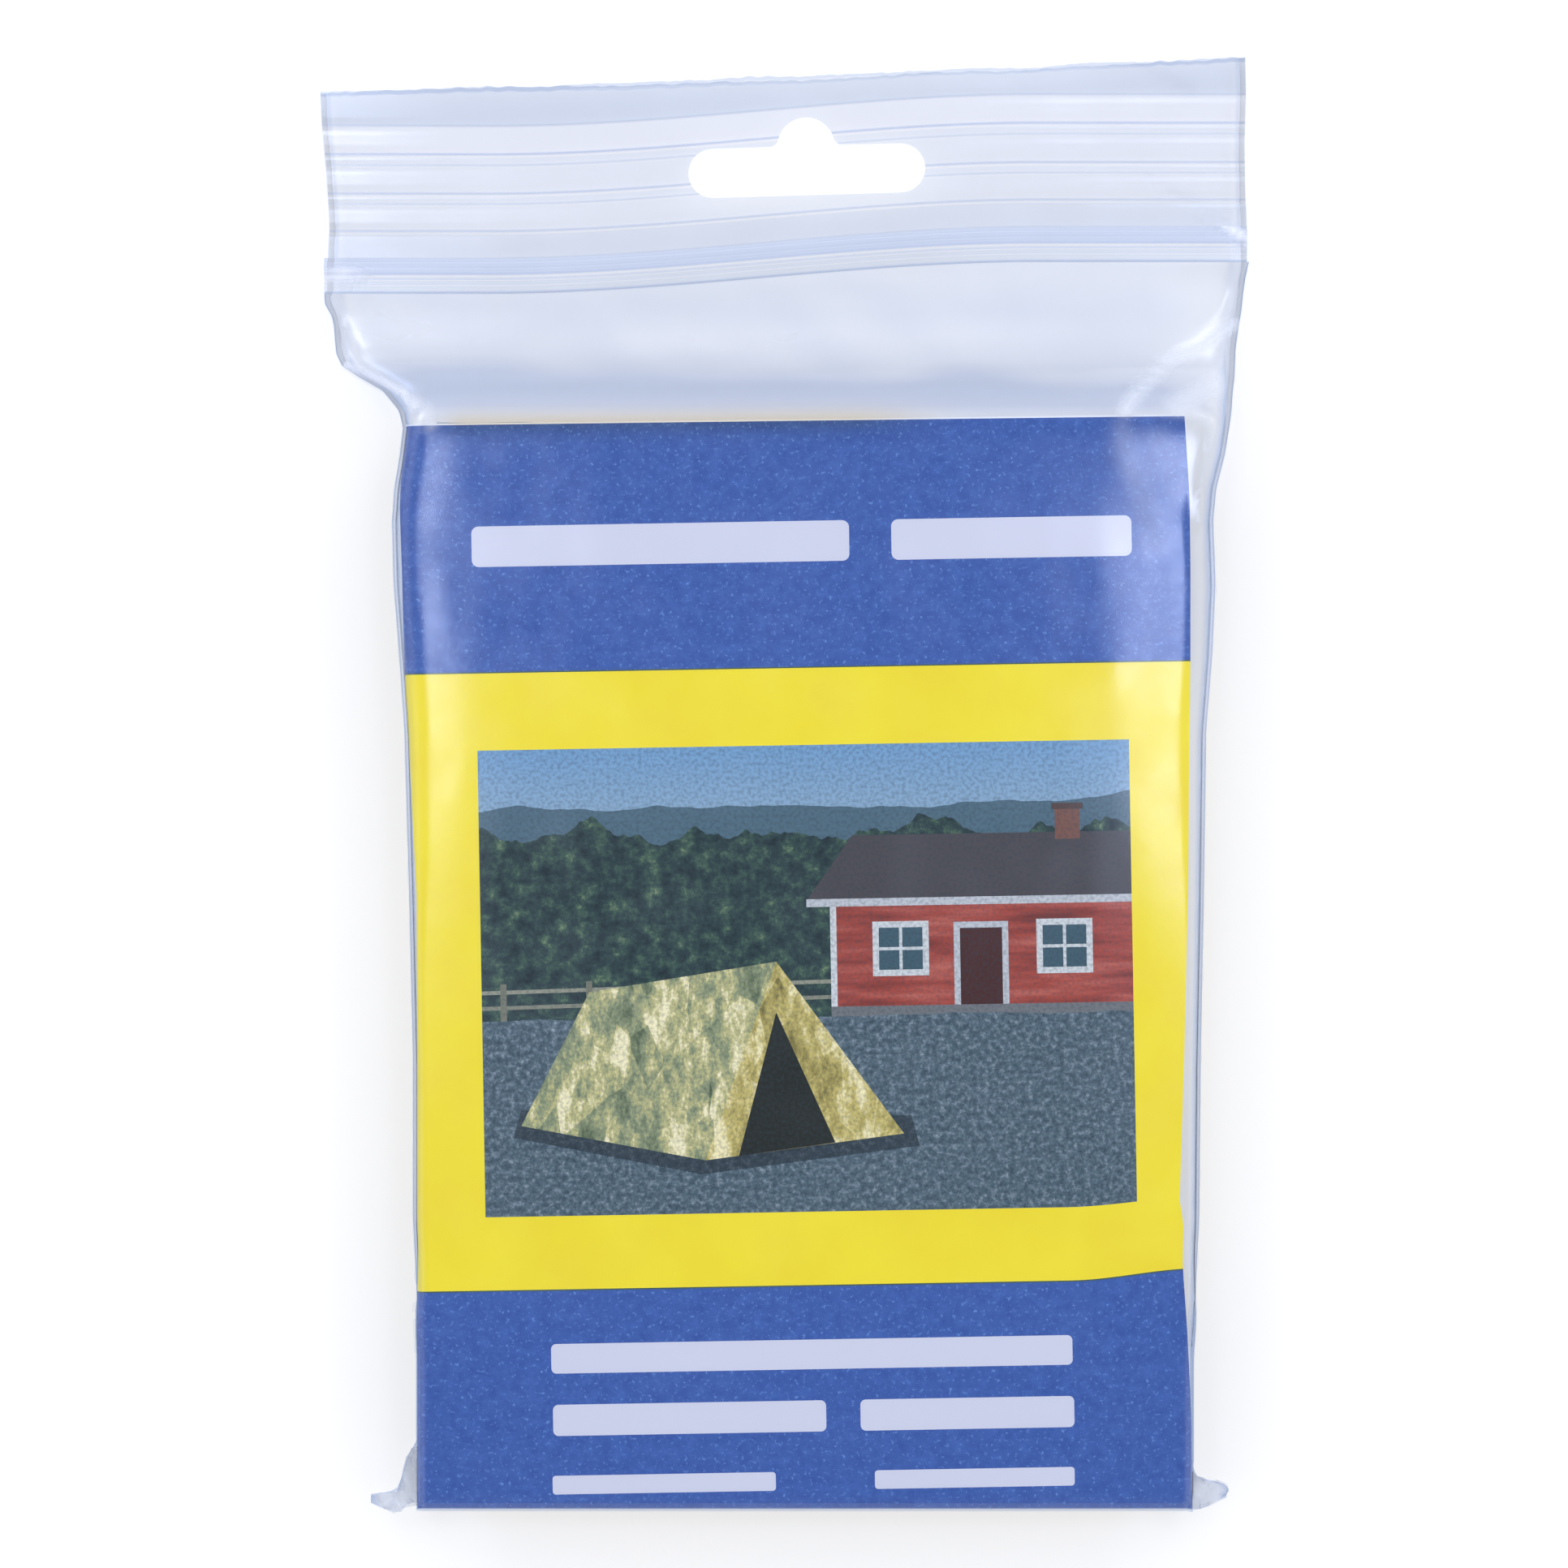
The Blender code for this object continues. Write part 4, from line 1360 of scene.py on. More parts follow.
@dataclass
class HeaderPly:
    """One ply of the header above the closure, with its bands, its cut top edge and the hang hole."""

    side: FilmSide
    finish: BandedFilm
    base: float
    shorter: float
    columns: int = 241
    flat_width: float = 120.0
    flat_length: float = 22.0
    cut_length: float = 21.5
    hole_area: float = 218.0
    sides: tuple[SidePair, ...] = rows_of(
        SidePair, (0.0, -59.0, 59.9), (0.2, -58.8, 59.7), (0.5, -59.2, 59.6), (0.8, -59.8, 59.8),
        (1.0, -60.0, 59.7),
    )
    # Painted highlights on the wrinkles near the header's right end and its top right corner.
    painted_highlights: tuple[Stroke, ...] = (
        Stroke(((47.3, 78.5), (53.0, 75.6), (59.4, 71.0)), 0.7, 0.03),
        Stroke(((54.0, 73.6), (59.0, 70.9)), 0.6, 0.05),
        Stroke(((46.5, 93.4), (49.4, 91.9), (52.3, 90.0)), 1.2, 0.03),
    )
    top_rows: tuple[float, ...] = (18.3, 19.2, 20.1, 20.8, 21.2, 21.5, 21.7)
    stretch_start: float = 17.4
    row_pitch: float = 0.9
    wavelength: float = 70.0
    wave_height: float = 0.3
    ridge_half_width: float = 0.3
    ridge_height: float = 0.07
    cut_y: float = 91.88
    cut_slope: float = 0.0387
    cut_sag: float = 0.3

    def rows(self) -> list[Point]:
        """Place the rows, closer together on each band's ridge.

        Returns:
            Distance above the closure of each row, and the height of its ridge.
        """
        rows, half, ridge = [(0.0, 0.0)], self.ridge_half_width, self.ridge_height
        for start in [band.start for band in self.finish.bands[1:] if band.start < self.top_rows[0]]:
            rows += [(up, 0.0) for up in spread(rows[-1][0], start - half, self.row_pitch)]
            rows += [(start - half, 0.0), (start - half / 3, ridge)]
            rows += [(start + half / 3, ridge), (start + half, 0.0)]
        return rows + [(up, 0.0) for up in self.top_rows]

    def top(self, x: float) -> float:
        """Y of the cut top edge, with the small steps that the cutter left.

        Args:
            x: Place across the pack.

        Returns:
            Place along the pack.
        """
        seed = 8.0 + self.shorter
        jag = 0.2 * uneven(x, seed - 5.0, 1.3, 1.0, 0.0) + 0.28 * uneven(x, seed, 9.0, 1.0, 0.0)
        dip = self.shorter * (0.35 + 0.65 * fade(x, -35.0, -15.0) * fade(x, 45.0, 33.0))
        sag = self.cut_sag * (1.0 - (x / FORM.closure_right) ** 2)
        return self.cut_y + self.cut_slope * x - sag - dip + jag

    def point(self, column: int, row: Point, up: float) -> Vector:
        """Point of the ply.

        Args:
            column: Number of its column.
            row: Its distance above the closure and its ridge's height.
            up: How far above the ply's lower face.

        Returns:
            The point's place.
        """
        distance, ridge = row
        last = self.top_rows[-1]
        share = distance / last
        edges = row_at(self.sides, share)
        x = edges.left + (edges.right - edges.left) * column / (self.columns - 1)
        bottom = FORM.closure_top + FORM.climb(x)
        stretch = max(distance - self.stretch_start, 0.0) / (last - self.stretch_start)
        y = bottom + distance + stretch * (self.top(x) - bottom - last)
        wave = self.wave_height * math.sin(FULL_TURN * x / self.wavelength)
        wave += 0.05 * uneven(x, y, 9.0, 7.0, self.base)
        return Vector((x, y, self.base + share * wave + ridge + up))

    def painted_side_shade(self, x: float, y: float) -> float:
        """How much painted shade the header's welded sides get, more near the outline, with a painted dark
        line about 1 mm inside it.

        Args:
            x: Place across the pack.
            y: Place along the pack.

        Returns:
            The painted shade of the nearer side.
        """
        edges = row_at(self.sides, (y - FORM.closure_top - FORM.climb(x)) / self.top_rows[-1])
        distance = min(x - edges.left, edges.right - x)
        return 0.1 * fade(distance, 1.6, 0.8) + 0.35 * bell(distance - 1.05, 0.2)

    def build(self, cutter: Object) -> None:
        """Build the ply, punch its hang hole and dress it.

        Args:
            cutter: Punch of the hang hole.
        """
        name, across = f"header_{self.side.value}", self.flat_width / (self.columns - 1)
        ply = closed_sheet(
            f"{name}_ply",
            range(self.columns),
            self.rows(),
            self.point,
            (0.0, FORM.film),
            flat=lambda column, row: (across * column, row[0]),
        )
        punch = ply.modifiers.new("Hang hole", "BOOLEAN")
        punch.operation = "DIFFERENCE"
        punch.solver = "EXACT"
        punch.object = cutter
        apply_modifiers(ply)
        # Painted highlights on the wrinkles, and painted shade along the welded sides.
        paint(ply, "milky", lambda x, y: sum(mark.at(x, y) for mark in self.painted_highlights))
        paint(ply, "grey", self.painted_side_shade)
        dress(ply, "film", self.finish.material())
        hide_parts(name)


@dataclass
class HangHole:
    """Hang hole: a slot with round ends and a dome over its middle, turned a little."""

    x: float = 2.95
    y: float = 79.4
    tilt: float = math.radians(1.65)
    half_length: float = 15.35
    slot_radius: float = 3.2
    dome_radius: float = 3.7
    fillet: float = 1.2
    arc_steps: int = 14

    def arc(self, x: float, y: float, radius: float, start: float, end: float) -> list[Point]:
        """Points of an arc between two angles in degrees."""
        turns = [math.radians(start + (end - start) * n / self.arc_steps) for n in range(self.arc_steps + 1)]
        return [(x + radius * math.cos(turn), y + radius * math.sin(turn)) for turn in turns]

    def outline(self) -> list[Point]:
        """Draw the right end, the dome with its two fillets and the left end.

        Returns:
            The hole's outline.
        """
        end = self.half_length - self.slot_radius
        fillet_x = math.sqrt(self.dome_radius**2 + 2.0 * self.dome_radius * self.fillet)
        fillet_y = self.slot_radius + self.fillet
        lean = math.degrees(math.atan2(self.fillet, fillet_x))
        points = self.arc(end, 0.0, self.slot_radius, -90.0, 90.0)
        points += self.arc(fillet_x, fillet_y, self.fillet, 270.0, 180.0 + lean)
        points += self.arc(0.0, self.slot_radius, self.dome_radius, lean, 180.0 - lean)[1:-1]
        points += self.arc(-fillet_x, fillet_y, self.fillet, -lean, -90.0)
        points += self.arc(-end, 0.0, self.slot_radius, 90.0, 270.0)
        turn, middle = Matrix.Rotation(self.tilt, 2), Vector((self.x, self.y))
        return [tuple(turn @ Vector(point) + middle) for point in points]

    def cutter(self) -> Object:
        """Build the punch that cuts the hole through both plies."""
        return plate("hang_hole_punch", self.outline(), base=-3.0, height=10.0)


class LipRow(NamedTuple):
    """Row of a closure lip: height above its lower edge, and the heights of its two faces."""

    up: float
    low: float
    high: float


@dataclass
class PressClosure:
    """Press closure: the back lip's rib sits in the front lip's channel; its two crushed ends are only turned
    milk-white, not flattened.
    """

    finish: BandedFilm
    step: float = 0.9
    height: float = 4.6
    right_inset: float = 0.3
    crushed: tuple[tuple[float, float, float], ...] = ((-57.2, 65.9, 0.04), (58.2, 71.6, -0.7))
    crushed_size: Point = (2.4, 0.8)
    crushed_milky: float = 1.1
    front_rows: tuple[LipRow, ...] = rows_of(
        LipRow, (0.0, 2.15, 2.38), (0.15, 2.15, 2.52), (0.3, 2.15, 2.4), (1.0, 2.15, 2.4),
        (1.1, 2.15, 2.46), (1.2, 2.15, 2.4), (1.7, 2.15, 2.42), (1.8, 2.15, 2.5), (1.9, 2.15, 2.44),
        (2.3, 2.15, 2.5), (2.45, 2.15, 2.72), (2.6, 2.2, 2.95), (2.8, 2.72, 3.05), (3.2, 2.74, 3.07),
        (3.6, 2.74, 3.07), (4.0, 2.72, 3.02), (4.15, 2.2, 2.9), (4.35, 2.15, 2.66), (4.6, 2.15, 2.36),
    )
    back_rows: tuple[LipRow, ...] = rows_of(
        LipRow, (0.0, 1.62, 1.85), (2.8, 1.6, 1.85), (2.95, 1.6, 1.9), (3.0, 1.6, 2.45), (3.2, 1.6, 2.6),
        (3.65, 1.6, 2.6), (3.85, 1.6, 2.45), (3.9, 1.6, 1.9), (4.05, 1.6, 1.85), (4.6, 1.62, 1.85),
    )

    def milky(self, x: float, y: float) -> float:
        """How milk-white the crushed ends are.

        Args:
            x: Place across the pack.
            y: Place along the pack.

        Returns:
            The milkiness, 0 between the ends.
        """
        share, (length, width) = 0.0, self.crushed_size
        for middle_x, middle_y, slope in self.crushed:
            along = x - middle_x
            share += self.crushed_milky * bell(along, length) * bell(y - middle_y - slope * along, width)
        return share

    def point(self, x: float, row: LipRow, face: float) -> Vector:
        """Point of a lip, on its upper face where face is 1 and on its lower one where it is 0."""
        return Vector((x, FORM.top + row.up + FORM.climb(x), row.high if face else row.low))

    def lip(self, name: str, node: str, rows: Sequence[LipRow]) -> None:
        """Build one lip and dress it.

        Args:
            name: Its name.
            node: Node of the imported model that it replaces.
            rows: Its section.
        """
        left, right = FORM.closure_left, FORM.closure_right - self.right_inset
        across = [left, *spread(left, right, self.step), right]
        piece = closed_sheet(
            name, across, rows, self.point, (0.0, 1.0), flat=lambda x, row: (x, row.up - self.height)
        )
        # Here the attribute holds only the real whitening of the crushed ends, no painted highlight.
        paint(piece, "milky", self.milky)
        dress(piece, "closure", self.finish.material())
        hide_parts(node)

    def build(self) -> None:
        """Build both lips."""
        self.lip("closure_rib_lip", "closure_ridge", self.back_rows)
        self.lip("closure_groove_lip", "closure_groove", self.front_rows)


@dataclass
class SideWelds:
    """Hot-knife welds down both sides, whose melted edge is a little scalloped.

    The left one ends early, and two short scraps of it show low on that side, a little further out.
    """

    finish: ClearFilm
    pitch: float = 1.1
    half_width: float = 0.42
    half_height: float = 0.13
    profile_points: int = 12
    inside_edge: float = 0.32
    header_length: float = 26.0
    closure_share: float = 0.15
    scallop_depth: float = 0.16
    scallop_length: float = 2.6
    swell: float = 0.25
    scrap_aside: float = 0.5

    def edge(self, side: int, start: float, end: float, aside: float) -> list[Vector]:
        """Line along the middle of a weld.

        Args:
            side: -1 for the left weld and 1 for the right one.
            start: Its lower end along the bag.
            end: Its upper end.
            aside: How far to the left of its own line it lies.

        Returns:
            Points of the line.
        """
        points = []
        for y in [start, *spread(start, end, self.pitch), end]:
            share = max(y - FORM.top, 0.0) / self.header_length
            edges, weld = FORM.section(y), FORM.section(y).weld
            if share:
                up_header = max(share - self.closure_share, 0.0) / (1.0 - self.closure_share)
                edges, weld = row_at(HeaderPly.sides, up_header), FORM.sections[-1].weld
            x = edges.left if side < 0 else edges.right
            wave = HeaderPly.wave_height * share * math.sin(FULL_TURN * x / HeaderPly.wavelength)
            scallop = self.scallop_depth * uneven(y, side * 5.0, self.scallop_length, 1.0, 0.0)
            place_y = y + min(FORM.climb_share(y), 1.0) * FORM.climb(x)
            place_x = x - side * (self.inside_edge - scallop) - aside
            points.append(Vector((place_x, place_y, weld + wave)))
        return points

    def grey(self, aside: float) -> float:
        """How much painted shade a weld gets this far beside its middle, where its rounded edge turns away.
        """
        return 0.6 * fade(abs(aside) / self.half_width, 0.4, 0.85)

    def build(self) -> None:
        """Build the welds and the scraps."""
        turns = [FULL_TURN * n / self.profile_points for n in range(self.profile_points)]
        wide, high = self.half_width, self.half_height
        profile = [Vector((wide * math.cos(turn), high * math.sin(turn), 0.0)) for turn in turns]
        for name, side, start, end, aside in (
            ("left_weld", -1, -64.6, 91.4, 0.0),
            ("right_weld", 1, -72.6, 92.0, 0.0),
            ("left_weld_scrap_upper", -1, -68.2, -66.9, self.scrap_aside),
            ("left_weld_scrap_lower", -1, -73.4, -69.0, self.scrap_aside),
        ):
            path = self.edge(side, start, end, aside)
            sizes = [1.0 + self.swell * uneven(place.y, side * 9.0, 1.9, 1.0, 4.0) for place in path]
            piece = swept_bead(name, path, profile, sizes)
            middle = [SidePair(place.y, place.x, place.x) for place in path]
            # Painted shade on the weld's rounded flanks.
            paint(piece, "grey", lambda x, y: self.grey(x - row_at(middle, y).left))
            dress(piece, "film", self.finish.material())


@dataclass
class CornerEars:
    """Corners of the bag's bottom weld, which stick out below the filled pouch, folded and crumpled."""

    finish: ClearFilm
    base: float = 2.6
    thickness: float = 0.5
    crumple: float = 0.5
    cuts: int = 4
    # Strengths of the random patches of painted highlight and painted shade.
    milky: float = 0.4
    grey: float = 0.35
    left: tuple[Point, ...] = (
        *((-46.6, -85.4), (-48.2, -85.9), (-48.9, -87.7), (-49.4, -89.3), (-49.8, -90.9), (-50.1, -91.5)),
        *((-52.4, -91.7), (-53.4, -92.1), (-53.5, -92.6), (-52.8, -93.2), (-51.6, -93.7), (-50.6, -94.1)),
        *((-49.5, -94.15), (-48.8, -93.2), (-47.9, -92.9), (-46.8, -93.0)),
    )
    right: tuple[Point, ...] = (
        *((51.6, -88.4), (52.9, -88.9), (53.4, -89.5), (54.4, -89.7), (55.0, -90.2), (56.1, -90.0)),
        *((57.3, -90.5), (57.5, -91.3), (57.2, -92.0), (56.2, -92.6), (54.7, -93.4), (53.9, -93.7)),
        *((52.6, -93.9), (51.6, -93.5)),
    )

    def ear(self, name: str, outline: Sequence[Point]) -> None:
        """Build one ear and dress it.

        Args:
            name: Its name.
            outline: Its outline, seen from above.
        """
        piece = plate(name, outline, self.base, self.thickness, self.cuts)
        for vert in piece.data.vertices:
            x, y = vert.co.x / MM, vert.co.y / MM
            fold = 1.0 - abs(math.sin(1.1 * x + 0.7 * y))
            lift = fold**3 + uneven(x, y, 1.6, 1.6, 3.0) + 0.1 * uneven(x, y, 0.5, 0.7, 8.0)
            vert.co.z += self.crumple * lift * MM
        # Random patches of painted highlight and painted shade stand in for the light on the ears' folds.
        paint(piece, "milky", lambda x, y: self.milky * fade(2.2 * uneven(x, y, 1.9, 1.5, 5.0), 0.0, 1.0))
        paint(piece, "grey", lambda x, y: self.grey * fade(2.0 * uneven(x, y, 2.4, 1.6, 1.0), 0.0, 1.0))
        dress(piece, "film", self.finish.material())

    def build(self) -> None:
        """Build both ears."""
        self.ear("left_corner_ear", self.left)
        self.ear("right_corner_ear", self.right)


@dataclass
class InsertCard:
    """Printed insert card, whose long edges bend down with the film's shoulders."""

    finish: PrintedCard
    thickness: float = 0.3
    under_film: float = 0.16
    film_room: float = 0.13
    side_room: float = 0.12
    least_height: float = 0.79
    pitch: float = 1.6
    face_width: float = 92.0
    middle: float = 1.2
    slant: float = 0.0125
    tilt: float = math.radians(1.0)
    bottom: float = -93.0
    length: float = 139.75
    print_x: float = 2.0
    print_y: float = -23.2
    cut_edge: float = 0.2
    curl: float = 1.3
    curl_x: Point = (34.0, 50.0)
    curl_y: float = -38.0
    curl_length: float = 14.0
    edges: tuple[SidePair, ...] = rows_of(
        SidePair, (-93.1, -47.2, 52.4), (-81.9, -47.2, 52.3), (-70.4, -47.2, 51.7), (-62.0, -47.2, 51.1),
        (-56.0, -47.2, 51.2), (-54.0, -47.2, 50.7), (-34.9, -47.1, 51.3), (-14.0, -47.1, 51.8),
        (-3.6, -47.7, 51.9), (14.2, -48.7, 52.1), (27.8, -49.0, 52.1), (36.2, -49.3, 52.0),
        (42.4, -49.1, 51.6), (47.3, -49.0, 51.3),
    )
    edge_steps: tuple[float, ...] = (0.0, 0.12, 0.3, 0.6, 1.0, 1.6, 2.4, 3.4)
    low_steps: tuple[float, ...] = (0.0, 0.3, 0.8, 1.6, 2.6)
    top_steps: tuple[float, ...] = (1.0, 0.3, 0.12, 0.0)

    def columns(self) -> list[tuple[int, float]]:
        """List the columns.

        Returns:
            Side of each column and its distance from it, and for those of the face 0 and their share across.
        """
        left = [(-1, step) for step in self.edge_steps]
        face = [(0, share) for share in spread(0.0, 1.0, self.pitch / self.face_width)]
        return left + face + [(1, step) for _, step in reversed(left)]

    def rows(self) -> list[float]:
        """Rows as distances up from the card's bottom edge."""
        high = [self.length - down for down in self.top_steps]
        return [*self.low_steps, *spread(self.low_steps[-1], high[0], self.pitch), *high]

    def place(self, column: tuple[int, float], row: float) -> Point:
        """Place a point of the card.

        Args:
            column: Its side and its distance or share.
            row: Its distance up from the bottom edge.

        Returns:
            Its x and y.
        """
        y, (side, step) = self.bottom + row, column
        edges, section = row_at(self.edges, y), FORM.section(y)
        room = FORM.outward(y) - FORM.film - self.side_room
        left, right = max(edges.left, section.wall_left - room), min(edges.right, section.wall_right + room)
        if side:
            x = left + step if side < 0 else right - step
        else:
            last = self.edge_steps[-1]
            x = left + last + step * (right - left - 2.0 * last)
        return x, y + self.slant * (x - self.middle) * row / self.length

    def point(self, column: tuple[int, float], row: float, below: float) -> Vector:
        """Point of the card.

        Args:
            column: Its side and its distance or share.
            row: Its distance up from the bottom edge.
            below: How far below the printed face.

        Returns:
            The point's place.
        """
        x, y = self.place(column, row)
        face = FORM.front(x, y, FORM.film + self.film_room, loose=False, least=self.least_height)
        return Vector((x, y, face - self.under_film - below))

    def flat(self, column: tuple[int, float], row: float) -> Point:
        """Place on the print, in millimetres from the card's middle, with the curl low on its right.

        Args:
            column: Side of the point and its distance or share.
            row: Its distance up from the bottom edge.

        Returns:
            Its x and y on the print.
        """
        x, y = self.place(column, row)
        turned = Matrix.Rotation(-self.tilt, 2) @ Vector((x - self.print_x, y - self.print_y))
        curl = self.curl * fade(turned.x, *self.curl_x) * bell(turned.y - self.curl_y, self.curl_length)
        return turned.x, turned.y - curl

    def printed(self, x: float, y: float) -> float:
        """1 where the card is printed and 0 along its cut top edge."""
        return float(self.bottom + self.length + self.slant * (x - self.middle) - y > self.cut_edge)

    def build(self) -> None:
        """Build the card and dress it."""
        faces = (self.thickness, 0.0)
        card = closed_sheet("insert_card_leaf", self.columns(), self.rows(), self.point, faces, self.flat)
        paint(card, "trim", self.printed)
        dress(card, "card", self.finish.material())
        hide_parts("insert_card")


@dataclass
class FoilBlanket:
    """Folded blanket: 160 by 210 cm of foil, folded to a 100 mm strip of 16 plies and then back and forth.

    The strip makes 15 runs. The foil's gold side faces up under the card and is outside at the bottom folds,
    and the silver side is outside at the top folds and underneath.
    """

    gold: MetallisedFilm
    silver: MetallisedFilm
    runs: int = 15
    base: float = 0.4
    lowest: float = 0.36
    bundle: float = 0.42
    pitch: float = 0.835
    run_step: float = 3.6
    top: float = 47.0
    height: float = 12.5
    bend_steps: int = 6
    width_step: float = 3.4
    side_gap: float = 0.5
    rim_share: float = 0.985
    turns_short: Point = (0.9, 0.8)
    shift: float = 0.55
    ripple: float = 0.16
    ruffle: float = 0.35
    skew: float = 0.007
    skew_start: float = -44.0
    flat_width: float = 100.0
    flat_length: float = 2100.0

    def path(self) -> list[tuple[float, float, float]]:
        """Fold the strip back and forth.

        Returns:
            The middle of the strip from end to end, as run, y and z.
        """
        radius = self.pitch / 2
        path: list[tuple[float, float, float]] = []
        for run in range(self.runs):
            z = self.bundle / 2 + run * self.pitch
            heading = 1 if run % 2 == 0 else -1
            mean, vary = self.turns_short
            short = [mean + vary * uneven(n * 1.7, 4.0, 1.0, 1.0, 0.0) for n in (run, run + 1)]
            low = FORM.blanket_bottom + short[heading < 0] + radius
            high = self.top - short[heading > 0] - radius
            start, end = (low, high) if heading > 0 else (high, low)
            path += [(run, y, z) for y in [start, *spread(start, end, self.run_step), end]]
            for step in range(1, self.bend_steps) if run < self.runs - 1 else ():
                turn = math.pi * step / self.bend_steps
                y = end + heading * radius * math.sin(turn)
                path.append((run + step / self.bend_steps, y, z + radius * (1 - math.cos(turn))))
        return path

    def point(self, share: float, run: float, y: float, z: float) -> Vector:
        """Point of the strip, with the runs' shifts and the foil's ripples.

        Args:
            share: Its share of the half width, from -1 on the left to 1 on the right.
            run: Number of its run, and between two numbers where the strip bends.
            y: Its place along the pack.
            z: Its height in a straight-sided stack.

        Returns:
            The point's place.
        """
        aside = self.shift * uneven(run * 0.9, 2.0, 1.0, 1.0, 0.0)
        x = FORM.middle(y) + aside + share * (FORM.blanket_half_width - self.side_gap)
        ripple = self.ripple * uneven(x, y, 7.0, 9.0, run * 0.12)
        height = self.base + z * FORM.pillow(x, y) - FORM.roll(x, y) * z / self.height + ripple
        ruffle = self.ruffle * uneven(x, run * 0.7, 6.0, 1.0, 5.0)
        return Vector((x, y + ruffle - self.skew * (x - self.skew_start), max(height, self.lowest)))

    def build(self) -> None:
        """Build the folded foil and dress it."""
        path, rim = self.path(), self.rim_share
        shares = [-1.0, -rim, *spread(-rim, rim, self.width_step / FORM.blanket_half_width), rim, 1.0]
        strip = bmesh.new()
        bmesh.ops.create_grid(strip, x_segments=len(shares) - 1, y_segments=len(path) - 1, size=1.0)
        for n, vert in enumerate(strip.verts):
            row, column = divmod(n, len(shares))
            vert.co = self.point(shares[column], *path[row]) * MM
        blanket = add_mesh("foil_blanket_sheet", strip)
        for finish in (self.gold, self.silver):
            blanket.data.materials.append(finish.material())
        wall = blanket.modifiers.new("Bundle of plies", "SOLIDIFY")
        wall.thickness = self.bundle * MM
        wall.offset = 0.0
        wall.material_offset = 1
        apply_modifiers(blanket)
        dress(blanket, "foil")
        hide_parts("foil_blanket")


# ---------------------------------------------------------------- studio


@dataclass(frozen=True)
class Softbox:
    """Rectangular light: its place, its width and height, its radiance and the point that it faces."""

    name: str
    place: tuple[float, float, float]
    width: float
    height: float
    radiance: float
    aim: tuple[float, float, float]
    colour: str = "FFFFFF"

    def build(self) -> None:
        """Hang the light with its height along Y, turned towards its aim."""
        deselect_all()
        turn = math.atan2(self.place[0] - self.aim[0], self.place[2] - self.aim[2])
        bpy.ops.object.light_add(type="AREA", location=self.place, rotation=(0.0, turn, 0.0))
        lamp = bpy.context.object
        lamp.name = self.name
        lamp.data.shape = "RECTANGLE"
        lamp.data.size, lamp.data.size_y = self.width, self.height
        lamp.data.energy = self.radiance * math.pi * self.width * self.height
        lamp.data.color = linear(self.colour)[:3]
        lamp.visible_camera = False


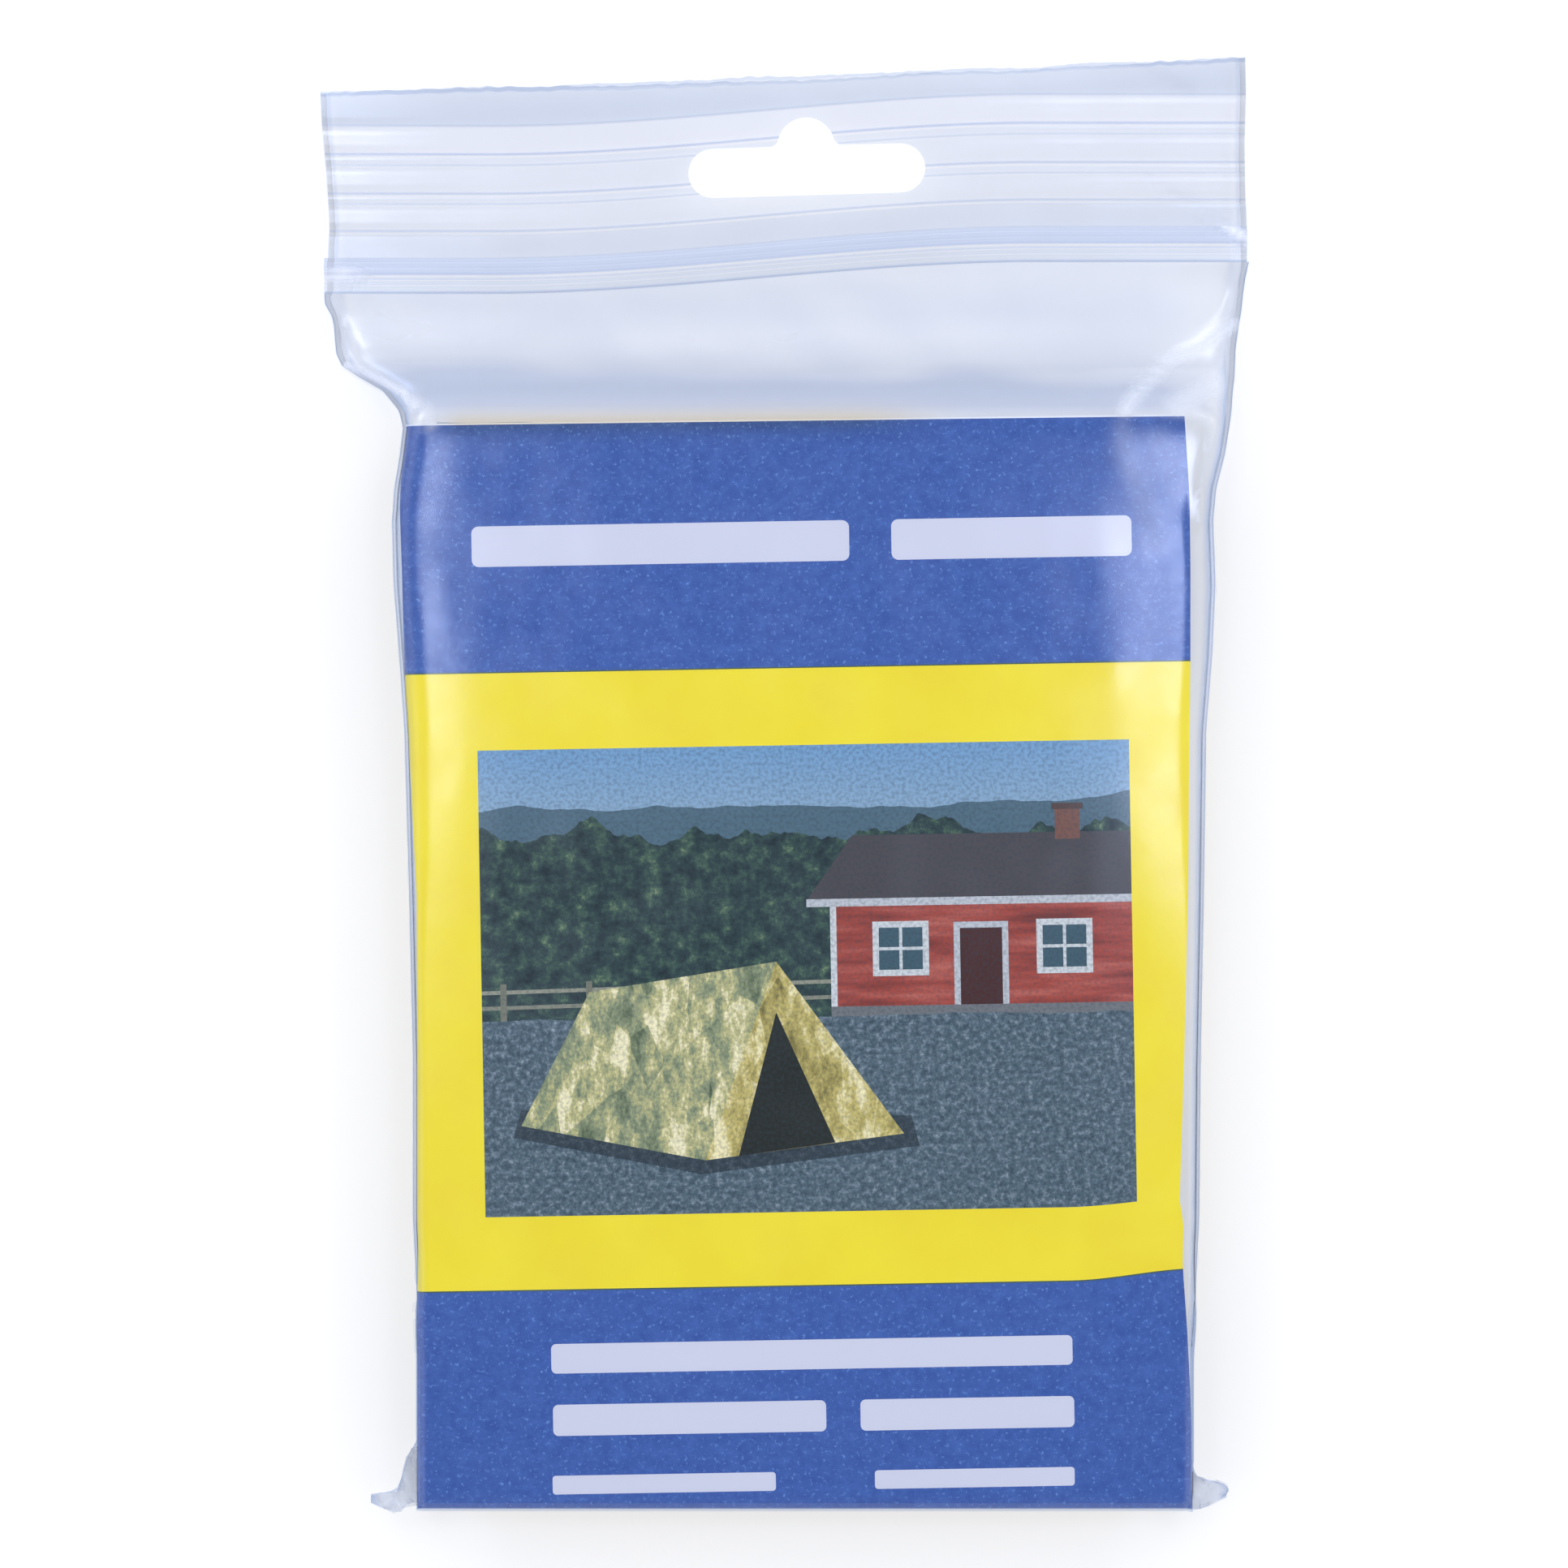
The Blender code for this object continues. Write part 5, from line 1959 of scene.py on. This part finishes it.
@dataclass
class Studio:
    """White sweep, soft dome and softboxes, seen straight from above through a long lens."""

    frame_width: float = 0.2019
    face_height: float = 0.008
    lens: float = 200.0
    sensor: float = 36.0
    clip_start: float = 0.01
    floor_size: float = 6.0
    floor_height: float = -0.0003
    floor_colour: str = "C4C4C4"
    floor_roughness: float = 0.9
    floor_glow: float = 0.5
    dome_strength: float = 1.25
    dome: Ramp = (
        *((0.0, "8C93A6"), (0.3, "E2E6F0"), (0.45, "FFFFFF"), (0.8, "F8FAFF")),
        *((0.93, "6E7380"), (0.97, "26282E"), (1.0, "1C1E22")),
    )
    softboxes: tuple[Softbox, ...] = (
        Softbox("left_strip", (-0.135, 0.05, 0.62), 0.07, 0.11, 9.4, (-0.05, 0.05, 0.0), "E6ECFF"),
        Softbox("right_strip", (0.155, 0.05, 0.62), 0.1, 0.1, 9.4, (0.05, 0.05, 0.0), "DCE4FF"),
        Softbox("left_rim", (-0.6, 0.65, 0.65), 0.16, 0.6, 4.5, (0.0, 0.65, 0.0)),
        Softbox("right_rim", (0.6, 0.65, 0.65), 0.16, 0.6, 4.5, (0.0, 0.65, 0.0)),
    )

    def place_camera(self) -> None:
        """Place the camera over the pack, so far up that its frame is as wide as the photograph's."""
        distance = self.frame_width * self.lens / self.sensor + self.face_height
        deselect_all()
        bpy.ops.object.camera_add(location=(0.0, 0.0, distance), rotation=(0.0, 0.0, 0.0))
        camera = bpy.context.object
        camera.data.lens = self.lens
        camera.data.sensor_width = self.sensor
        camera.data.clip_start = self.clip_start
        bpy.context.scene.camera = camera

    def lay_floor(self) -> None:
        """Lay the matt paper floor, which glows a little so that it stays white under the soft light."""
        deselect_all()
        bpy.ops.mesh.primitive_plane_add(size=self.floor_size, location=(0.0, 0.0, self.floor_height))
        floor = bpy.context.object
        floor.name = "floor"
        bpy.ops.object.transform_apply(location=True, rotation=True, scale=True)
        material, tree, _ = new_material("white paper sweep")
        looks = {"Base Color": linear(self.floor_colour), "Roughness": self.floor_roughness}
        looks |= {"Specular IOR Level": 0.0, "Emission Color": linear("FFFFFF")}
        feed(tree.nodes["Principled BSDF"], looks | {"Emission Strength": self.floor_glow})
        floor.data.materials.append(material)

    def light_dome(self) -> None:
        """Light the scene from all round, with less light from straight above."""
        world = bpy.data.worlds.new("soft dome")
        bpy.context.scene.world = world
        world.use_nodes = True
        add = partial(add_node, world.node_tree)
        up = add("SeparateXYZ", {0: add("TexCoord", output="Generated")}, 2)
        shade = add("ValToRGB", {0: up}, stops=self.dome)
        feed(world.node_tree.nodes["Background"], {"Color": shade, "Strength": self.dome_strength})

    def build(self) -> None:
        """Set up the camera, floor and lights."""
        self.place_camera()
        self.lay_floor()
        self.light_dome()
        for softbox in self.softboxes:
            softbox.build()
        bpy.context.scene.view_settings.view_transform = "Standard"


def main() -> None:
    """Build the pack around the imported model, then the studio."""
    logging.basicConfig(level=logging.INFO, format="%(name)s: %(message)s", stream=sys.stdout)
    Studio().build()
    pouch_film = ClearFilm("blown polyethylene film")
    header_film = BandedFilm("banded polyethylene film")
    # The lip's bands paint the shade of its edges as darker lines, with a white painted highlight along one
    # of them.
    lip = BandedFilm(
        "extruded polyethylene lip",
        roughness=0.18,
        bands=rows_of(
            Band, (-4.6, "9FB2DA", "9FB2DA"), (-4.25, "DEE7F5", "D4DEF2", 0.1, "B4C4E4"),
            (-3.45, "DEE7F5", "CCD8F0", 0.08), (-2.8, "D8E1F4", "C8D4EE", 0.08),
            (-2.1, "C2D0F0", "AFC2EA", 0.2, "FFFFFF"), (-1.3, "C0CFF0", "B4C5EC", 0.08, "CAD7F4"),
            (-0.5, "C6D3F1", "B4C5EC", 0.08, "D2DDF6"),
        ),
        top=0.0,
    )
    weld = ClearFilm("hot-knife weld", tint="EDF1FA", slant_tint="C6D0E6", at_a_slant=0.2, roughness=0.25)
    folded = ClearFilm(
        "crumpled weld film", tint="CAD3E5", slant_tint="93A1C2", head_on=0.06, at_a_slant=0.4, roughness=0.3
    )

    PouchSkin(FilmSide.BACK, pouch_film, face_pitch=1.5, tent_pitch=0.8).build()
    FoilBlanket(
        gold=MetallisedFilm("gold metallised polyester", "E6C885", "C7A45E"),
        silver=MetallisedFilm("silver metallised polyester", "E4E6EB", "C2C6CE", 0.5),
    ).build()
    InsertCard(PrintedCard()).build()
    PouchSkin(FilmSide.FRONT, pouch_film).build()
    cutter = HangHole().cutter()
    HeaderPly(FilmSide.BACK, header_film, base=1.66, shorter=0.0).build(cutter)
    HeaderPly(FilmSide.FRONT, header_film, base=2.22, shorter=0.5).build(cutter)
    bpy.data.objects.remove(cutter)
    PressClosure(lip).build()
    CornerEars(folded).build()
    SideWelds(weld).build()
    deselect_all()


if __name__ == "__main__":
    main()
